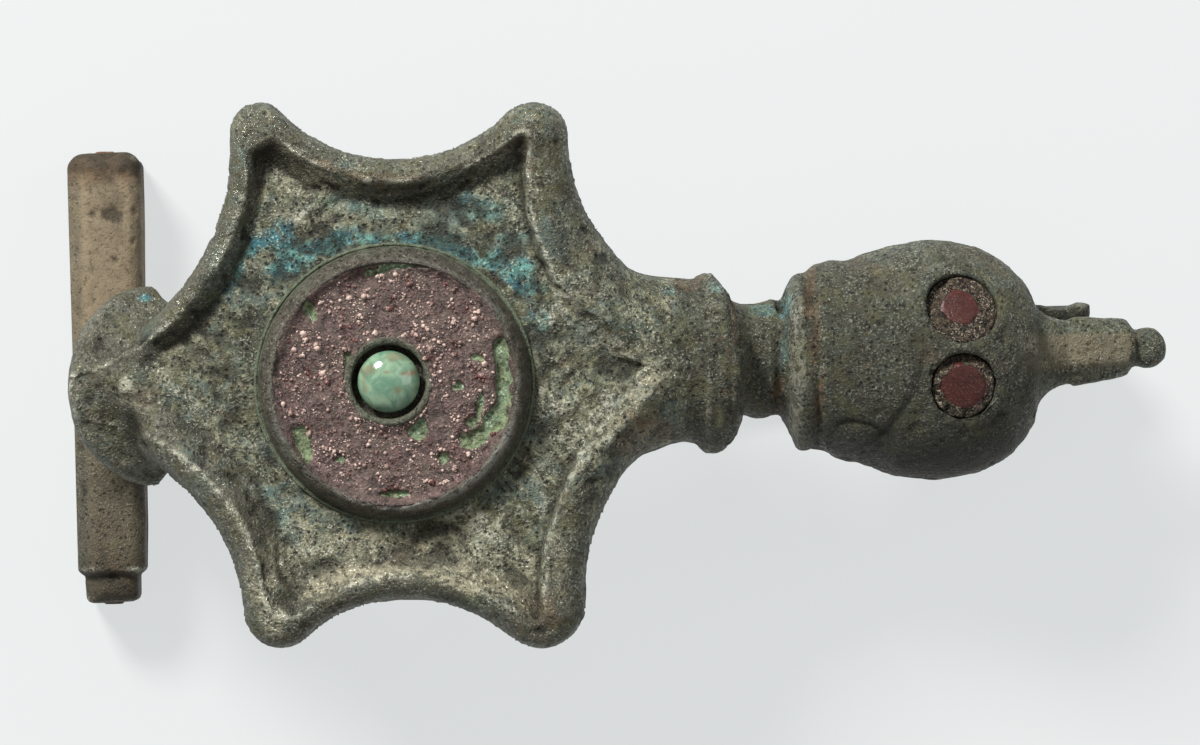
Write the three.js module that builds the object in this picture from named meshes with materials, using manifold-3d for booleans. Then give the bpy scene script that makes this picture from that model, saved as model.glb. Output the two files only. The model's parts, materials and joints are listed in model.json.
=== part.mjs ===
// Fibula brooch of cast copper alloy with an inlaid disc, resting on its underside.
// Millimetres. +X runs along the bow from the crossbar to the beak, +Y across it, +Z up,
// toward the side that shows when the brooch is worn.
// The origin is the middle of the crossbar's flat underside.
import * as THREE from 'three';
import { mergeVertices } from 'three/addons/utils/BufferGeometryUtils.js';
import Module from 'manifold-3d';

const wasm = await Module();
wasm.setup();

// Fineness of the facets.
const WELD = 0.0001;
const PLATE_FACETS = 104;
const ROUND_FACETS = 56;
const SMALL_FACETS = 28;
const SECTION_FACETS = 24;
const ROLL_STEPS = 5;
const HEAD_STEPS = 11;
const CUT_MARGIN = 1;

// Crossbar: a bar along Y with bevelled edges and a narrower step at one end.
const BAR_LENGTH = 23.1;
const BAR_WIDTH = 3.85;
const BAR_HEIGHT = 4.2;
const BAR_TOP_BEVEL = 0.9;
const BAR_FOOT_BEVEL = 0.45;
const BAR_STEP_LENGTH = 1.5;
const BAR_STEP_DEPTH = 0.35;

// Hinge: an axle through the crossbar, and the eye of the pin in its slot.
const AXLE_RADIUS = 0.55;
const AXLE_HEIGHT = 2.1;
const AXLE_PROUD = 0.12;
const AXLE_FIT = 0.06;
const HINGE_FIT = 0.08;
const HINGE_SIDE_FIT = 0.2;
const HINGE_SWEEP_FIT = 0.25;
const HINGE_Y = -1.7;
const EYE_RADIUS = 1.25;
const EYE_WIDTH = 1.5;

// Pin: a tapering shaft that lies beside the catch with its tip on the ground.
const PIN_ROOT_RADIUS = 0.75;
const PIN_TIP_RADIUS = 0.42;
const PIN_TAPER_REACH = 44;
const PIN_REACH = 46.6;
const PIN_POINT_RADIUS = 0.12;

// Six-pointed plate, seen from its own centre.
const STAR_X = 15;
const STAR_Y = -0.55;
const FIELD_TOP = 13.9;
const RIM_HEIGHT = 1;
const RIM_FALL = 1.5;
const FLANK_BULGE = 0.3;
const PLATE_THICKNESS = 1.5;
const UNDER_INSET = 0.7;
const CREST_TIP_INSET = 0.75;
const LEAST_WALL = 0.4;
const SEAT_RADIUS = 7;
const LEFT_CUT = 15.6;
const RIGHT_CUT = 14.6;

// Each side of the plate is a bay, a circle cut out of it: how far its centre lies from
// the plate's centre, in which direction (degrees), and its radius; then the same for the
// rim's crest, and how far behind the crest the sunken field begins.
const BAYS = [
  { away: 19.21, turn: 88.9, radius: 7.97, crest: { away: 19.21, turn: 88.9, radius: 9.05 }, wall: 1.2 },
  { away: 22.44, turn: 147.3, radius: 10.85, crest: { away: 22.44, turn: 147.3, radius: 11.7 }, wall: 1 },
  { away: 20.69, turn: -145.4, radius: 9.19, crest: { away: 20.69, turn: -145.4, radius: 10.3 }, wall: 1.7 },
  { away: 18.8, turn: -88.9, radius: 7.9, crest: { away: 18.8, turn: -88.9, radius: 9 }, wall: 1.1 },
  { away: 21.59, turn: -29.9, radius: 9.34, crest: { away: 24.36, turn: -27.5, radius: 14.27 }, wall: 0.4 },
  { away: 20.79, turn: 35.1, radius: 8.02, crest: { away: 19.56, turn: 31.1, radius: 9.78 }, wall: 0.4 },
];
// Rounded points of the plate between one bay and the next; the two arms have none.
const POINTS = [
  { bays: [0, 1], radius: 1.58 },
  { bays: [2, 3], radius: 1.96 },
  { bays: [3, 4], radius: 2.3 },
  { bays: [5, 0], radius: 1.81 },
];

// Fall of the plate toward its two arms.
const LEFT_BEND_START = 8.2;
const LEFT_BEND_RADIUS = 8.56;
const RIGHT_BEND_START = 6.9;
const RIGHT_BEND_LENGTH = 6;
const NECK_LEAN = THREE.MathUtils.degToRad(16);

// Left arm, from under the plate through the ring collar down to the crossbar.
const ARM_Y = -0.45;
const RING_LEAN = THREE.MathUtils.degToRad(56);
const ARM_CROWN = 0.1;
const ARM_COVER = 1.35;
const ARM_WAIST = 3.1;
const ARM_END_WIDTH = 3.9;
const ARM_START_DEPTH = 2;
const ARM_END_DEPTH = 7.6;
const ARM_STEPS = 8;
const SHANK_STEPS = 5;
const SHANK_WIDTH = 2.6;
const SHANK_DEPTH = 1.7;
const SHANK_SINK = 0.9;

// Ring collar: a flange round the upper half of the left arm.
const RING_RADIUS = 4.95;
const RING_EDGE_RADIUS = 4.55;
const RING_THICKNESS = 1.2;
const RING_X = 2.75;
const RING_Z = 9.15;
const RING_CUT = 0.25;

// Right arm, collars and neck: radii across the bow. Their undersides are flatter.
const UNDER_FLATNESS = 0.6;
const AXIS_Y = 0.22;
const HEAD_Z = 8.4;
const NECK_BEND_X = 34;
const NECK_BEND_LENGTH = 1;
const LEAD_START_X = 22.5;
const LEAD_END_X = 29.5;
const LEAD_START_WIDTH = 3;
const LEAD_END_WIDTH = 3.95;
const LEAD_START_TOP = 0.3;
const LEAD_START_UNDER = 0.3;
const LEAD_STEPS = 5;
const COLLAR_A = { x: 30.8, width: 1.7, root: 3.75, crest: 4.5 };
const NECK_ROLL = { x: 33.35, width: 2, root: 2.7, crest: 3 };
const COLLAR_B = { x: 35.6, width: 1.6, root: 3.8, crest: 4.6 };

// Head: half widths and heights above and below its axis.
const HEAD_Y = 0;
const HEAD_BASE_X = 36.7;
const HEAD_WIDEST_X = 42.4;
const HEAD_BASE_WIDTH = 4.9;
const HEAD_WIDTH = 6.12;
const HEAD_FRONT_LENGTH = 6.2;
const HEAD_FRONT_POWER = 2.1;
const HEAD_PEAK_X = 41.2;
const HEAD_BASE_TOP = 4.6;
const HEAD_TOP = 4.95;
const HEAD_TOP_LENGTH = 7.2;
const HEAD_TOP_POWER = 2.3;

// Beak and its end knob.
const BEAK_X = 48.2;
const BEAK_Y = 0.5;
const BEAK_END_X = 52.35;
const BEAK_ROOT_WIDTH = 2.3;
const BEAK_END_WIDTH = 1.42;
const BEAK_ROOT_TOP = 1.75;
const BEAK_END_TOP = 1.15;
const BEAK_ROOT_UNDER = 1.5;
const BEAK_END_UNDER = 1;
const BEAK_SECTION_POWER = 2.7;
const BEAK_DROP = 0.2;
const KNOB_NECK_RADIUS = 0.85;
const KNOB_NECK_LENGTH = 0.3;
const KNOB_RADIUS = 1.08;

// Catchplate under the head, and its hook.
const CATCH_Y = 2;
const CATCH_THICKNESS = 0.7;
const CATCH_START_X = 37.2;
const CATCH_END_X = 49.6;
const CATCH_TIP_X = 50.5;
const CATCH_TIP_Z = 5.6;
const CATCH_TOP_Z = 7;
const CATCH_TOP_X = 48.4;
const HOOK_START_X = 38.6;
const HOOK_END_X = 48.7;
const HOOK_FLOOR = 0.75;
const HOOK_LIP_THICKNESS = 0.6;
const HOOK_LIP_HEIGHT = 2.5;
const HOOK_REACH = 2.7;
const HOOK_BEVEL = 0.3;

// Disc setting on the plate: a dish with a rim, and a small ring off its centre.
const DISC_RADIUS = 6.85;
const DISC_FOOT_LEDGE = 0.2;
const DISC_FOOT_HEIGHT = 0.22;
const DISC_HEIGHT = 1.65;
const DISC_RIM_INNER = 5.95;
const DISC_RIM_BEVEL = 0.3;
const DISC_FLOOR = 0.5;
const CELL_X = -0.27;
const CELL_Y = 0.07;
const CELL_RADIUS = 2.3;
const CELL_INNER_RADIUS = 1.85;
const CELL_HEIGHT = 1.5;
const CELL_BEVEL = 0.15;
const WELL_FLOOR = 0.25;

// Inlays: the enamel, the bead and the two eyes, each with a little air round it.
const INLAY_FIT = 0.05;
const ENAMEL_THICKNESS = 0.65;
const ENAMEL_CROWN = 0.12;
const BEAD_RADIUS = 1.56;
const BEAD_BASE_RADIUS = 1.25;
const BEAD_WAIST_HEIGHT = 0.45;
const BEAD_HEIGHT = 1.65;
const BEAD_STEPS = 6;
const SOCKET_DEPTH = 1.05;
const EYE_FIT = 0.12;
const EYE_INLAY_THICKNESS = 0.8;
const EYE_INLAY_CROWN = 0.22;
const EYE_PUPIL_RISE = 0.06;
const EYES = {
  upper: { x: 43.61, y: 2.79, radius: 1.85, pupil: 0.95 },
  lower: { x: 43.63, y: -1.33, radius: 1.65, pupil: 1.15 },
};

const RADIAN = Math.PI / 180;
const UP = new THREE.Vector3(0, 0, 1);
const point = (x, y, z) => new THREE.Vector3(x, y, z);
const mix = THREE.MathUtils.lerp;
const ease = (t) => (1 - Math.cos(Math.PI * t)) / 2;

function outwardSolid(points, faces) {
  let volume = 0;
  for (let i = 0; i < faces.length; i += 3) {
    const [a, b, c] = [points[faces[i]], points[faces[i + 1]], points[faces[i + 2]]];
    volume += a.dot(b.clone().cross(c));
  }
  const turned = volume < 0 ? faces.slice().reverse() : faces;
  return new wasm.Manifold(new wasm.Mesh({
    numProp: 3,
    vertProperties: Float32Array.from(points.flatMap((p) => [p.x, p.y, p.z])),
    triVerts: Uint32Array.from(turned),
  }));
}

// A closed skin over rings of equally many points, closed at both ends by one point each.
function skin(rings, start, end) {
  const count = rings[0].length;
  const points = [start, ...rings.flat(), end];
  const last = 1 + (rings.length - 1) * count;
  const faces = [];
  for (let i = 0; i < count; i += 1) {
    const next = (i + 1) % count;
    faces.push(0, 1 + next, 1 + i);
    for (let k = 0; k + 1 < rings.length; k += 1) {
      const a = 1 + k * count + i;
      const b = 1 + k * count + next;
      faces.push(a, b, b + count, a, b + count, a + count);
    }
    faces.push(points.length - 1, last + i, last + next);
  }
  return outwardSolid(points, faces);
}

// The solid of a closed three.js geometry.
function solidOf(geometry) {
  const bare = geometry.clone();
  bare.deleteAttribute('normal');
  bare.deleteAttribute('uv');
  const joined = mergeVertices(bare, WELD);
  const place = joined.getAttribute('position');
  const points = [];
  for (let i = 0; i < place.count; i += 1) {
    points.push(new THREE.Vector3().fromBufferAttribute(place, i));
  }
  const index = joined.getIndex().array;
  const faces = [];
  for (let i = 0; i < index.length; i += 3) {
    const [a, b, c] = [index[i], index[i + 1], index[i + 2]];
    if (a !== b && b !== c && c !== a) faces.push(a, b, c);
  }
  return outwardSolid(points, faces);
}

// A turned solid about +Z at the origin, from a profile of [radius, height] pairs.
function turned(profile, facets) {
  const outline = profile.map(([radius, height]) => new THREE.Vector2(radius, height));
  const geometry = new THREE.LatheGeometry(outline, facets);
  geometry.rotateX(Math.PI / 2);
  return geometry;
}

function rod(radius, bottom, top, facets) {
  return turned([[0, bottom], [radius, bottom], [radius, top], [0, top]], facets);
}

// Moves a geometry made about +Z so that its axis points along a direction at a place.
function aimed(geometry, direction, place) {
  const turn = new THREE.Quaternion().setFromUnitVectors(UP, direction.clone().normalize());
  geometry.applyQuaternion(turn);
  geometry.translate(place.x, place.y, place.z);
  return geometry;
}

function slab(x0, x1, y0, y1, z0, z1) {
  const geometry = new THREE.BoxGeometry(x1 - x0, y1 - y0, z1 - z0);
  geometry.translate((x0 + x1) / 2, (y0 + y1) / 2, (z0 + z1) / 2);
  return geometry;
}

// A flat outline of [x, z] corners, pushed along +Y.
function platedXZ(corners, y, thickness) {
  const shape = new THREE.Shape(corners.map(([x, z]) => new THREE.Vector2(x, z)));
  const geometry = new THREE.ExtrudeGeometry(shape, { depth: thickness, bevelEnabled: false });
  geometry.rotateX(Math.PI / 2);
  geometry.translate(0, y + thickness, 0);
  return geometry;
}

// One cross-section: an oval that may be deeper above its middle than below it.
function oval({ centre, up, width, top, under, power = 2 }) {
  const ring = [];
  for (let i = 0; i < SECTION_FACETS; i += 1) {
    const angle = (2 * Math.PI * i) / SECTION_FACETS;
    const across = Math.sign(Math.cos(angle)) * Math.abs(Math.cos(angle)) ** (2 / power);
    const rise = Math.sign(Math.sin(angle)) * Math.abs(Math.sin(angle)) ** (2 / power);
    const height = rise * (rise > 0 ? top : under);
    ring.push(centre.clone().addScaledVector(up, height).add(point(0, across * width, 0)));
  }
  return ring;
}

function loft(sections) {
  const rings = sections.map(oval);
  return skin(rings, sections[0].centre, sections[sections.length - 1].centre);
}

// Plate.

function nearSide({ away, turn, radius }, angle) {
  const swing = angle - turn * RADIAN;
  const reach = radius ** 2 - (away * Math.sin(swing)) ** 2;
  return Math.cos(swing) > 0 && reach > 0 ? away * Math.cos(swing) - Math.sqrt(reach) : Infinity;
}

function centreOf({ away, turn }) {
  return new THREE.Vector2(away * Math.cos(turn * RADIAN), away * Math.sin(turn * RADIAN));
}

// The round point that touches both of its bays: its centre and the sector it fills.
function roundedPoint({ bays, radius }) {
  const [a, b] = bays.map((i) => BAYS[i]);
  const [ca, cb] = [centreOf(a), centreOf(b)];
  const [ra, rb] = [a.radius + radius, b.radius + radius];
  const span = ca.distanceTo(cb);
  const along = (ra ** 2 - rb ** 2 + span ** 2) / (2 * span);
  const aside = Math.sqrt(ra ** 2 - along ** 2);
  const unit = cb.clone().sub(ca).divideScalar(span);
  const foot = ca.clone().addScaledVector(unit, along);
  const sides = [aside, -aside].map((d) => foot.clone().add(new THREE.Vector2(-unit.y, unit.x).multiplyScalar(d)));
  const centre = sides[0].length() < sides[1].length() ? sides[0] : sides[1];
  const touch = [ca, cb].map((c) => centre.clone().add(c.clone().sub(centre).setLength(radius)));
  const middle = centre.angle();
  const limits = touch.map((t) => wrapped(t.angle() - middle));
  return { centre, radius, middle, low: Math.min(...limits), high: Math.max(...limits) };
}

function wrapped(angle) {
  return Math.atan2(Math.sin(angle), Math.cos(angle));
}

const ROUNDED = POINTS.map(roundedPoint);

function outlineReach(angle) {
  let reach = Math.min(...BAYS.map((bay) => nearSide(bay, angle)));
  for (const tip of ROUNDED) {
    const swing = wrapped(angle - tip.middle);
    if (swing > tip.low && swing < tip.high) {
      const away = tip.centre.length();
      reach = away * Math.cos(swing) + Math.sqrt(tip.radius ** 2 - (away * Math.sin(swing)) ** 2);
    }
  }
  const cut = Math.cos(angle) > 0 ? RIGHT_CUT : LEFT_CUT;
  return Math.min(reach, cut / Math.abs(Math.cos(angle)));
}

function crestReach(angle) {
  const crest = Math.min(...BAYS.map((bay) => nearSide(bay.crest, angle)));
  return Math.min(crest, outlineReach(angle) - CREST_TIP_INSET);
}

function fieldReach(angle) {
  const walls = BAYS.map(({ crest, wall }) => nearSide({ ...crest, radius: crest.radius + wall }, angle));
  return Math.min(...walls, crestReach(angle) - LEAST_WALL);
}

// How far the plate has fallen at a distance along the bow, and how steep it is there.
function plateFall(x) {
  if (x < -LEFT_BEND_START) {
    const run = -x - LEFT_BEND_START;
    const rest = Math.sqrt(LEFT_BEND_RADIUS ** 2 - run ** 2);
    return { fall: LEFT_BEND_RADIUS - rest, steepness: LEFT_BEND_RADIUS / rest };
  }
  const run = Math.max(0, x - RIGHT_BEND_START);
  const bent = Math.min(run, RIGHT_BEND_LENGTH);
  const slope = Math.tan(NECK_LEAN);
  const fall = slope * (bent ** 2 / (2 * RIGHT_BEND_LENGTH) + (run - bent));
  return { fall, steepness: Math.hypot(1, (slope * bent) / RIGHT_BEND_LENGTH) };
}

function platePoint(angle, reach, rise) {
  const x = reach * Math.cos(angle);
  const { fall, steepness } = plateFall(x);
  return point(STAR_X + x, STAR_Y + reach * Math.sin(angle), FIELD_TOP - fall + rise * steepness);
}

function plate() {
  const levels = [
    (a) => [SEAT_RADIUS, 0],
    (a) => [mix(SEAT_RADIUS, fieldReach(a), 1 / 3), 0],
    (a) => [mix(SEAT_RADIUS, fieldReach(a), 2 / 3), 0],
    (a) => [fieldReach(a), 0],
    (a) => [crestReach(a), RIM_HEIGHT],
    (a) => [mix(crestReach(a), outlineReach(a), 1 / 2), RIM_HEIGHT - RIM_FALL / 2 + FLANK_BULGE],
    (a) => [outlineReach(a), RIM_HEIGHT - RIM_FALL],
    (a) => [outlineReach(a) - UNDER_INSET, -PLATE_THICKNESS],
    (a) => [mix(SEAT_RADIUS, outlineReach(a) - UNDER_INSET, 2 / 3), -PLATE_THICKNESS],
    (a) => [mix(SEAT_RADIUS, outlineReach(a) - UNDER_INSET, 1 / 3), -PLATE_THICKNESS],
    (a) => [SEAT_RADIUS, -PLATE_THICKNESS],
  ];
  const angles = Array.from({ length: PLATE_FACETS }, (_, i) => (2 * Math.PI * i) / PLATE_FACETS);
  const rings = levels.map((level) => angles.map((angle) => platePoint(angle, ...level(angle))));
  return skin(rings, platePoint(0, 0, 0), platePoint(0, 0, -PLATE_THICKNESS));
}

// Left arm. Its sections turn about the centre of the bend, then run on to the crossbar.

function leftArm() {
  const hub = point(STAR_X - LEFT_BEND_START, 0, FIELD_TOP + RIM_HEIGHT - LEFT_BEND_RADIUS);
  const sections = [];
  for (let i = 0; i <= ARM_STEPS; i += 1) {
    const t = i / ARM_STEPS;
    const lean = RING_LEAN * t;
    const up = point(-Math.sin(lean), 0, Math.cos(lean));
    const crown = LEFT_BEND_RADIUS - mix(ARM_COVER + RIM_HEIGHT / 2, ARM_CROWN, ease(t ** 2));
    const depth = mix(ARM_START_DEPTH, ARM_END_DEPTH, ease(t)) / 2;
    sections.push({
      centre: hub.clone().addScaledVector(up, crown - depth).setY(ARM_Y),
      up,
      width: mix(ARM_WAIST, ARM_END_WIDTH, ease(t)),
      top: depth,
      under: depth,
    });
  }
  const start = sections[sections.length - 1];
  const down = point(-Math.cos(RING_LEAN), 0, -Math.sin(RING_LEAN));
  const knee = start.centre.clone().addScaledVector(down, start.centre.x / Math.cos(RING_LEAN));
  const foot = point(0, 0, BAR_HEIGHT - SHANK_SINK);
  for (let i = 1; i <= SHANK_STEPS; i += 1) {
    const t = i / SHANK_STEPS;
    const lean = mix(RING_LEAN, Math.PI / 2, t);
    const depth = mix(start.top, SHANK_DEPTH, ease(t));
    sections.push({
      centre: new THREE.QuadraticBezierCurve3(start.centre, knee, foot).getPoint(t),
      up: point(-Math.sin(lean), 0, Math.cos(lean)),
      width: mix(start.width, SHANK_WIDTH, ease(t)),
      top: depth,
      under: depth,
    });
  }
  return loft(sections);
}

function ringCollar() {
  const half = RING_THICKNESS / 2;
  const shoulder = (RING_RADIUS + RING_EDGE_RADIUS) / 2;
  const flange = turned([
    [0, -half],
    [RING_EDGE_RADIUS, -half],
    [shoulder, -half * 0.8],
    [RING_RADIUS, 0],
    [shoulder, half * 0.8],
    [RING_EDGE_RADIUS, half],
    [0, half],
  ], ROUND_FACETS);
  const outward = point(Math.cos(RING_LEAN), 0, Math.sin(RING_LEAN));
  const place = point(RING_X, ARM_Y, RING_Z);
  const side = RING_RADIUS + CUT_MARGIN;
  const lower = slab(-side, side, -side, side, -side, -RING_CUT);
  lower.rotateY(RING_LEAN);
  lower.translate(place.x, place.y, place.z);
  return solidOf(aimed(flange, outward, place)).subtract(solidOf(lower));
}

// Right arm, collars, neck, head and beak: one run of sections along the bow.

function axisAt(x) {
  const t = (NECK_BEND_X - x) / NECK_BEND_LENGTH;
  const ramp = Math.min(Math.max((t + 1) / 2, 0), 1);
  const rise = t > 1 ? t : ramp ** 2;
  return { z: HEAD_Z + Math.tan(NECK_LEAN) * NECK_BEND_LENGTH * rise, lean: NECK_LEAN * ramp };
}

function turnedSection(x, radius, y = AXIS_Y) {
  const { z, lean } = axisAt(x);
  return {
    centre: point(x, y, z),
    up: point(Math.sin(lean), 0, Math.cos(lean)),
    width: radius,
    top: radius,
    under: radius * UNDER_FLATNESS,
  };
}

function roll({ x, width, root, crest }) {
  return Array.from({ length: ROLL_STEPS + 1 }, (_, i) => {
    const t = Math.sin(Math.PI * (i / ROLL_STEPS - 1 / 2));
    return turnedSection(x + (t * width) / 2, root + (crest - root) * Math.sqrt(1 - t ** 2));
  });
}

function rightArm() {
  return Array.from({ length: LEAD_STEPS }, (_, i) => {
    const t = i / (LEAD_STEPS - 1);
    const width = mix(LEAD_START_WIDTH, LEAD_END_WIDTH, t);
    const x = mix(LEAD_START_X, LEAD_END_X, t);
    const section = turnedSection(x, width);
    const inPlate = FIELD_TOP - PLATE_THICKNESS / 2 - plateFall(x - STAR_X).fall;
    return {
      ...section,
      centre: section.centre.clone().setZ(mix(inPlate, section.centre.z, ease(t))),
      top: mix(LEAD_START_TOP, LEAD_END_WIDTH, ease(t)),
      under: mix(LEAD_START_UNDER, LEAD_END_WIDTH * UNDER_FLATNESS, ease(t)),
    };
  });
}

const bulge = (t, power) => (1 - t ** power) ** (1 / power);

function headWidth(x) {
  if (x < HEAD_WIDEST_X) {
    return mix(HEAD_BASE_WIDTH, HEAD_WIDTH, ease((x - HEAD_BASE_X) / (HEAD_WIDEST_X - HEAD_BASE_X)));
  }
  return HEAD_WIDTH * bulge((x - HEAD_WIDEST_X) / HEAD_FRONT_LENGTH, HEAD_FRONT_POWER);
}

function headTop(x) {
  if (x < HEAD_PEAK_X) {
    return mix(HEAD_BASE_TOP, HEAD_TOP, ease((x - HEAD_BASE_X) / (HEAD_PEAK_X - HEAD_BASE_X)));
  }
  return HEAD_TOP * bulge((x - HEAD_PEAK_X) / HEAD_TOP_LENGTH, HEAD_TOP_POWER);
}

function head() {
  return Array.from({ length: HEAD_STEPS + 1 }, (_, i) => {
    const t = Math.sin((Math.PI / 2) * (i / HEAD_STEPS));
    const x = mix(HEAD_BASE_X, BEAK_X, t);
    return {
      centre: point(x, mix(HEAD_Y, BEAK_Y, ease(t) ** 2 * 0.5), HEAD_Z),
      up: UP,
      width: headWidth(x),
      top: headTop(x),
      under: mix(HEAD_BASE_WIDTH * UNDER_FLATNESS, BEAK_ROOT_UNDER, ease(t ** 2)),
    };
  });
}

function beak() {
  return [1 / 4, 1 / 2, 1].map((t) => ({
    centre: point(mix(BEAK_X, BEAK_END_X, t), BEAK_Y, HEAD_Z - BEAK_DROP * t),
    up: UP,
    width: mix(BEAK_ROOT_WIDTH, BEAK_END_WIDTH, t),
    top: mix(BEAK_ROOT_TOP, BEAK_END_TOP, t),
    under: mix(BEAK_ROOT_UNDER, BEAK_END_UNDER, t),
    power: BEAK_SECTION_POWER,
  }));
}

function knob() {
  const start = BEAK_END_X + KNOB_NECK_LENGTH;
  const entry = Math.asin(KNOB_NECK_RADIUS / KNOB_RADIUS);
  const middle = start + KNOB_RADIUS * Math.cos(entry);
  const place = (x) => point(x, BEAK_Y, HEAD_Z - BEAK_DROP);
  const round = (x, radius) => ({ centre: place(x), up: UP, width: radius, top: radius, under: radius });
  const sections = [round(BEAK_END_X + WELD, KNOB_NECK_RADIUS)];
  for (let i = 0; i < ROLL_STEPS; i += 1) {
    const angle = mix(entry, Math.PI, i / ROLL_STEPS);
    sections.push(round(middle - KNOB_RADIUS * Math.cos(angle), KNOB_RADIUS * Math.sin(angle)));
  }
  const tip = place(middle + KNOB_RADIUS);
  return { sections, tip };
}

function foreBody() {
  const { sections, tip } = knob();
  const all = [...rightArm(), ...roll(COLLAR_A), ...roll(NECK_ROLL), ...roll(COLLAR_B), ...head(), ...beak()];
  const rings = [...all, ...sections].map(oval);
  return skin(rings, all[0].centre, tip);
}

// Crossbar and catch.

function crossbar() {
  const half = BAR_WIDTH / 2;
  const corners = [
    [-half + BAR_FOOT_BEVEL, 0],
    [half - BAR_FOOT_BEVEL, 0],
    [half, BAR_FOOT_BEVEL],
    [half, BAR_HEIGHT - BAR_TOP_BEVEL],
    [half - BAR_TOP_BEVEL, BAR_HEIGHT],
    [-half + BAR_TOP_BEVEL, BAR_HEIGHT],
    [-half, BAR_HEIGHT - BAR_TOP_BEVEL],
    [-half, BAR_FOOT_BEVEL],
  ];
  const inner = corners.map(([x, z]) => [
    x * (1 - BAR_STEP_DEPTH / half),
    Math.min(z, BAR_HEIGHT - BAR_STEP_DEPTH),
  ]);
  const body = platedXZ(corners, -BAR_LENGTH / 2 + BAR_STEP_LENGTH, BAR_LENGTH - BAR_STEP_LENGTH);
  const step = platedXZ(inner, -BAR_LENGTH / 2, BAR_STEP_LENGTH + CUT_MARGIN);
  return solidOf(body).add(solidOf(step));
}

function hingeSlot() {
  const sweep = EYE_RADIUS + HINGE_SWEEP_FIT;
  const half = EYE_WIDTH / 2 + HINGE_SIDE_FIT;
  return solidOf(slab(
    -sweep,
    BAR_WIDTH,
    HINGE_Y - half,
    HINGE_Y + half,
    -CUT_MARGIN,
    AXLE_HEIGHT + sweep,
  ));
}

function alongY(radius, y0, y1, facets) {
  return aimed(rod(radius, y0, y1, facets), point(0, 1, 0), point(0, 0, AXLE_HEIGHT));
}

function catchplate() {
  const wall = platedXZ([
    [CATCH_START_X, 0],
    [CATCH_END_X, 0],
    [CATCH_TIP_X, CATCH_TIP_Z],
    [CATCH_TOP_X, CATCH_TOP_Z],
    [CATCH_START_X, CATCH_TOP_Z],
  ], CATCH_Y, CATCH_THICKNESS);
  const lip = CATCH_Y - HOOK_REACH;
  const shape = new THREE.Shape([
    [CATCH_Y + CATCH_THICKNESS / 2, 0],
    [lip + HOOK_BEVEL, 0],
    [lip, HOOK_BEVEL],
    [lip, HOOK_LIP_HEIGHT],
    [lip + HOOK_LIP_THICKNESS, HOOK_LIP_HEIGHT],
    [lip + HOOK_LIP_THICKNESS, HOOK_FLOOR + HOOK_BEVEL],
    [lip + HOOK_LIP_THICKNESS + HOOK_BEVEL, HOOK_FLOOR],
    [CATCH_Y + CATCH_THICKNESS / 2, HOOK_FLOOR],
  ].map(([y, z]) => new THREE.Vector2(y, z)));
  const hook = new THREE.ExtrudeGeometry(shape, { depth: HOOK_END_X - HOOK_START_X, bevelEnabled: false });
  hook.applyMatrix4(new THREE.Matrix4().makeBasis(point(0, 1, 0), UP, point(1, 0, 0)));
  hook.translate(HOOK_START_X, 0, 0);
  return solidOf(wall).add(solidOf(hook));
}

// Eyes: seat on the head's surface, square to it.

function headSurface(x, y) {
  const across = Math.abs(y - HEAD_Y) / headWidth(x);
  return HEAD_Z + headTop(x) * Math.sqrt(1 - across ** 2);
}

function eyeSeat({ x, y }) {
  const probe = EYES.lower.pupil / 2;
  const slopeX = (headSurface(x + probe, y) - headSurface(x - probe, y)) / (2 * probe);
  const slopeY = (headSurface(x, y + probe) - headSurface(x, y - probe)) / (2 * probe);
  const normal = point(-slopeX, -slopeY, 1).normalize();
  const floor = point(x, y, headSurface(x, y)).addScaledVector(normal, -SOCKET_DEPTH);
  return { normal, floor };
}

function socket(eye) {
  const { normal, floor } = eyeSeat(eye);
  return solidOf(aimed(rod(eye.radius, 0, SOCKET_DEPTH + CUT_MARGIN, SMALL_FACETS), normal, floor));
}

function eyeInlay(eye) {
  const { normal, floor } = eyeSeat(eye);
  const radius = eye.radius - EYE_FIT;
  const edge = EYE_INLAY_THICKNESS;
  const crown = edge + EYE_INLAY_CROWN;
  const profile = [
    [0, 0],
    [radius, 0],
    [radius, edge],
    [(radius + eye.pupil) / 2, mix(edge, crown, 2 / 3)],
    [eye.pupil, edge + EYE_INLAY_CROWN / 2],
    [eye.pupil * 0.8, crown],
    [0, crown + EYE_PUPIL_RISE],
  ];
  return solidOf(aimed(turned(profile, SMALL_FACETS), normal, floor));
}

// Disc setting and what lies in it.

const discPlace = point(STAR_X, STAR_Y, FIELD_TOP);
const cellPlace = point(STAR_X + CELL_X, STAR_Y + CELL_Y, FIELD_TOP);

function placed(geometry, place) {
  geometry.translate(place.x, place.y, place.z);
  return solidOf(geometry);
}

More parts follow.
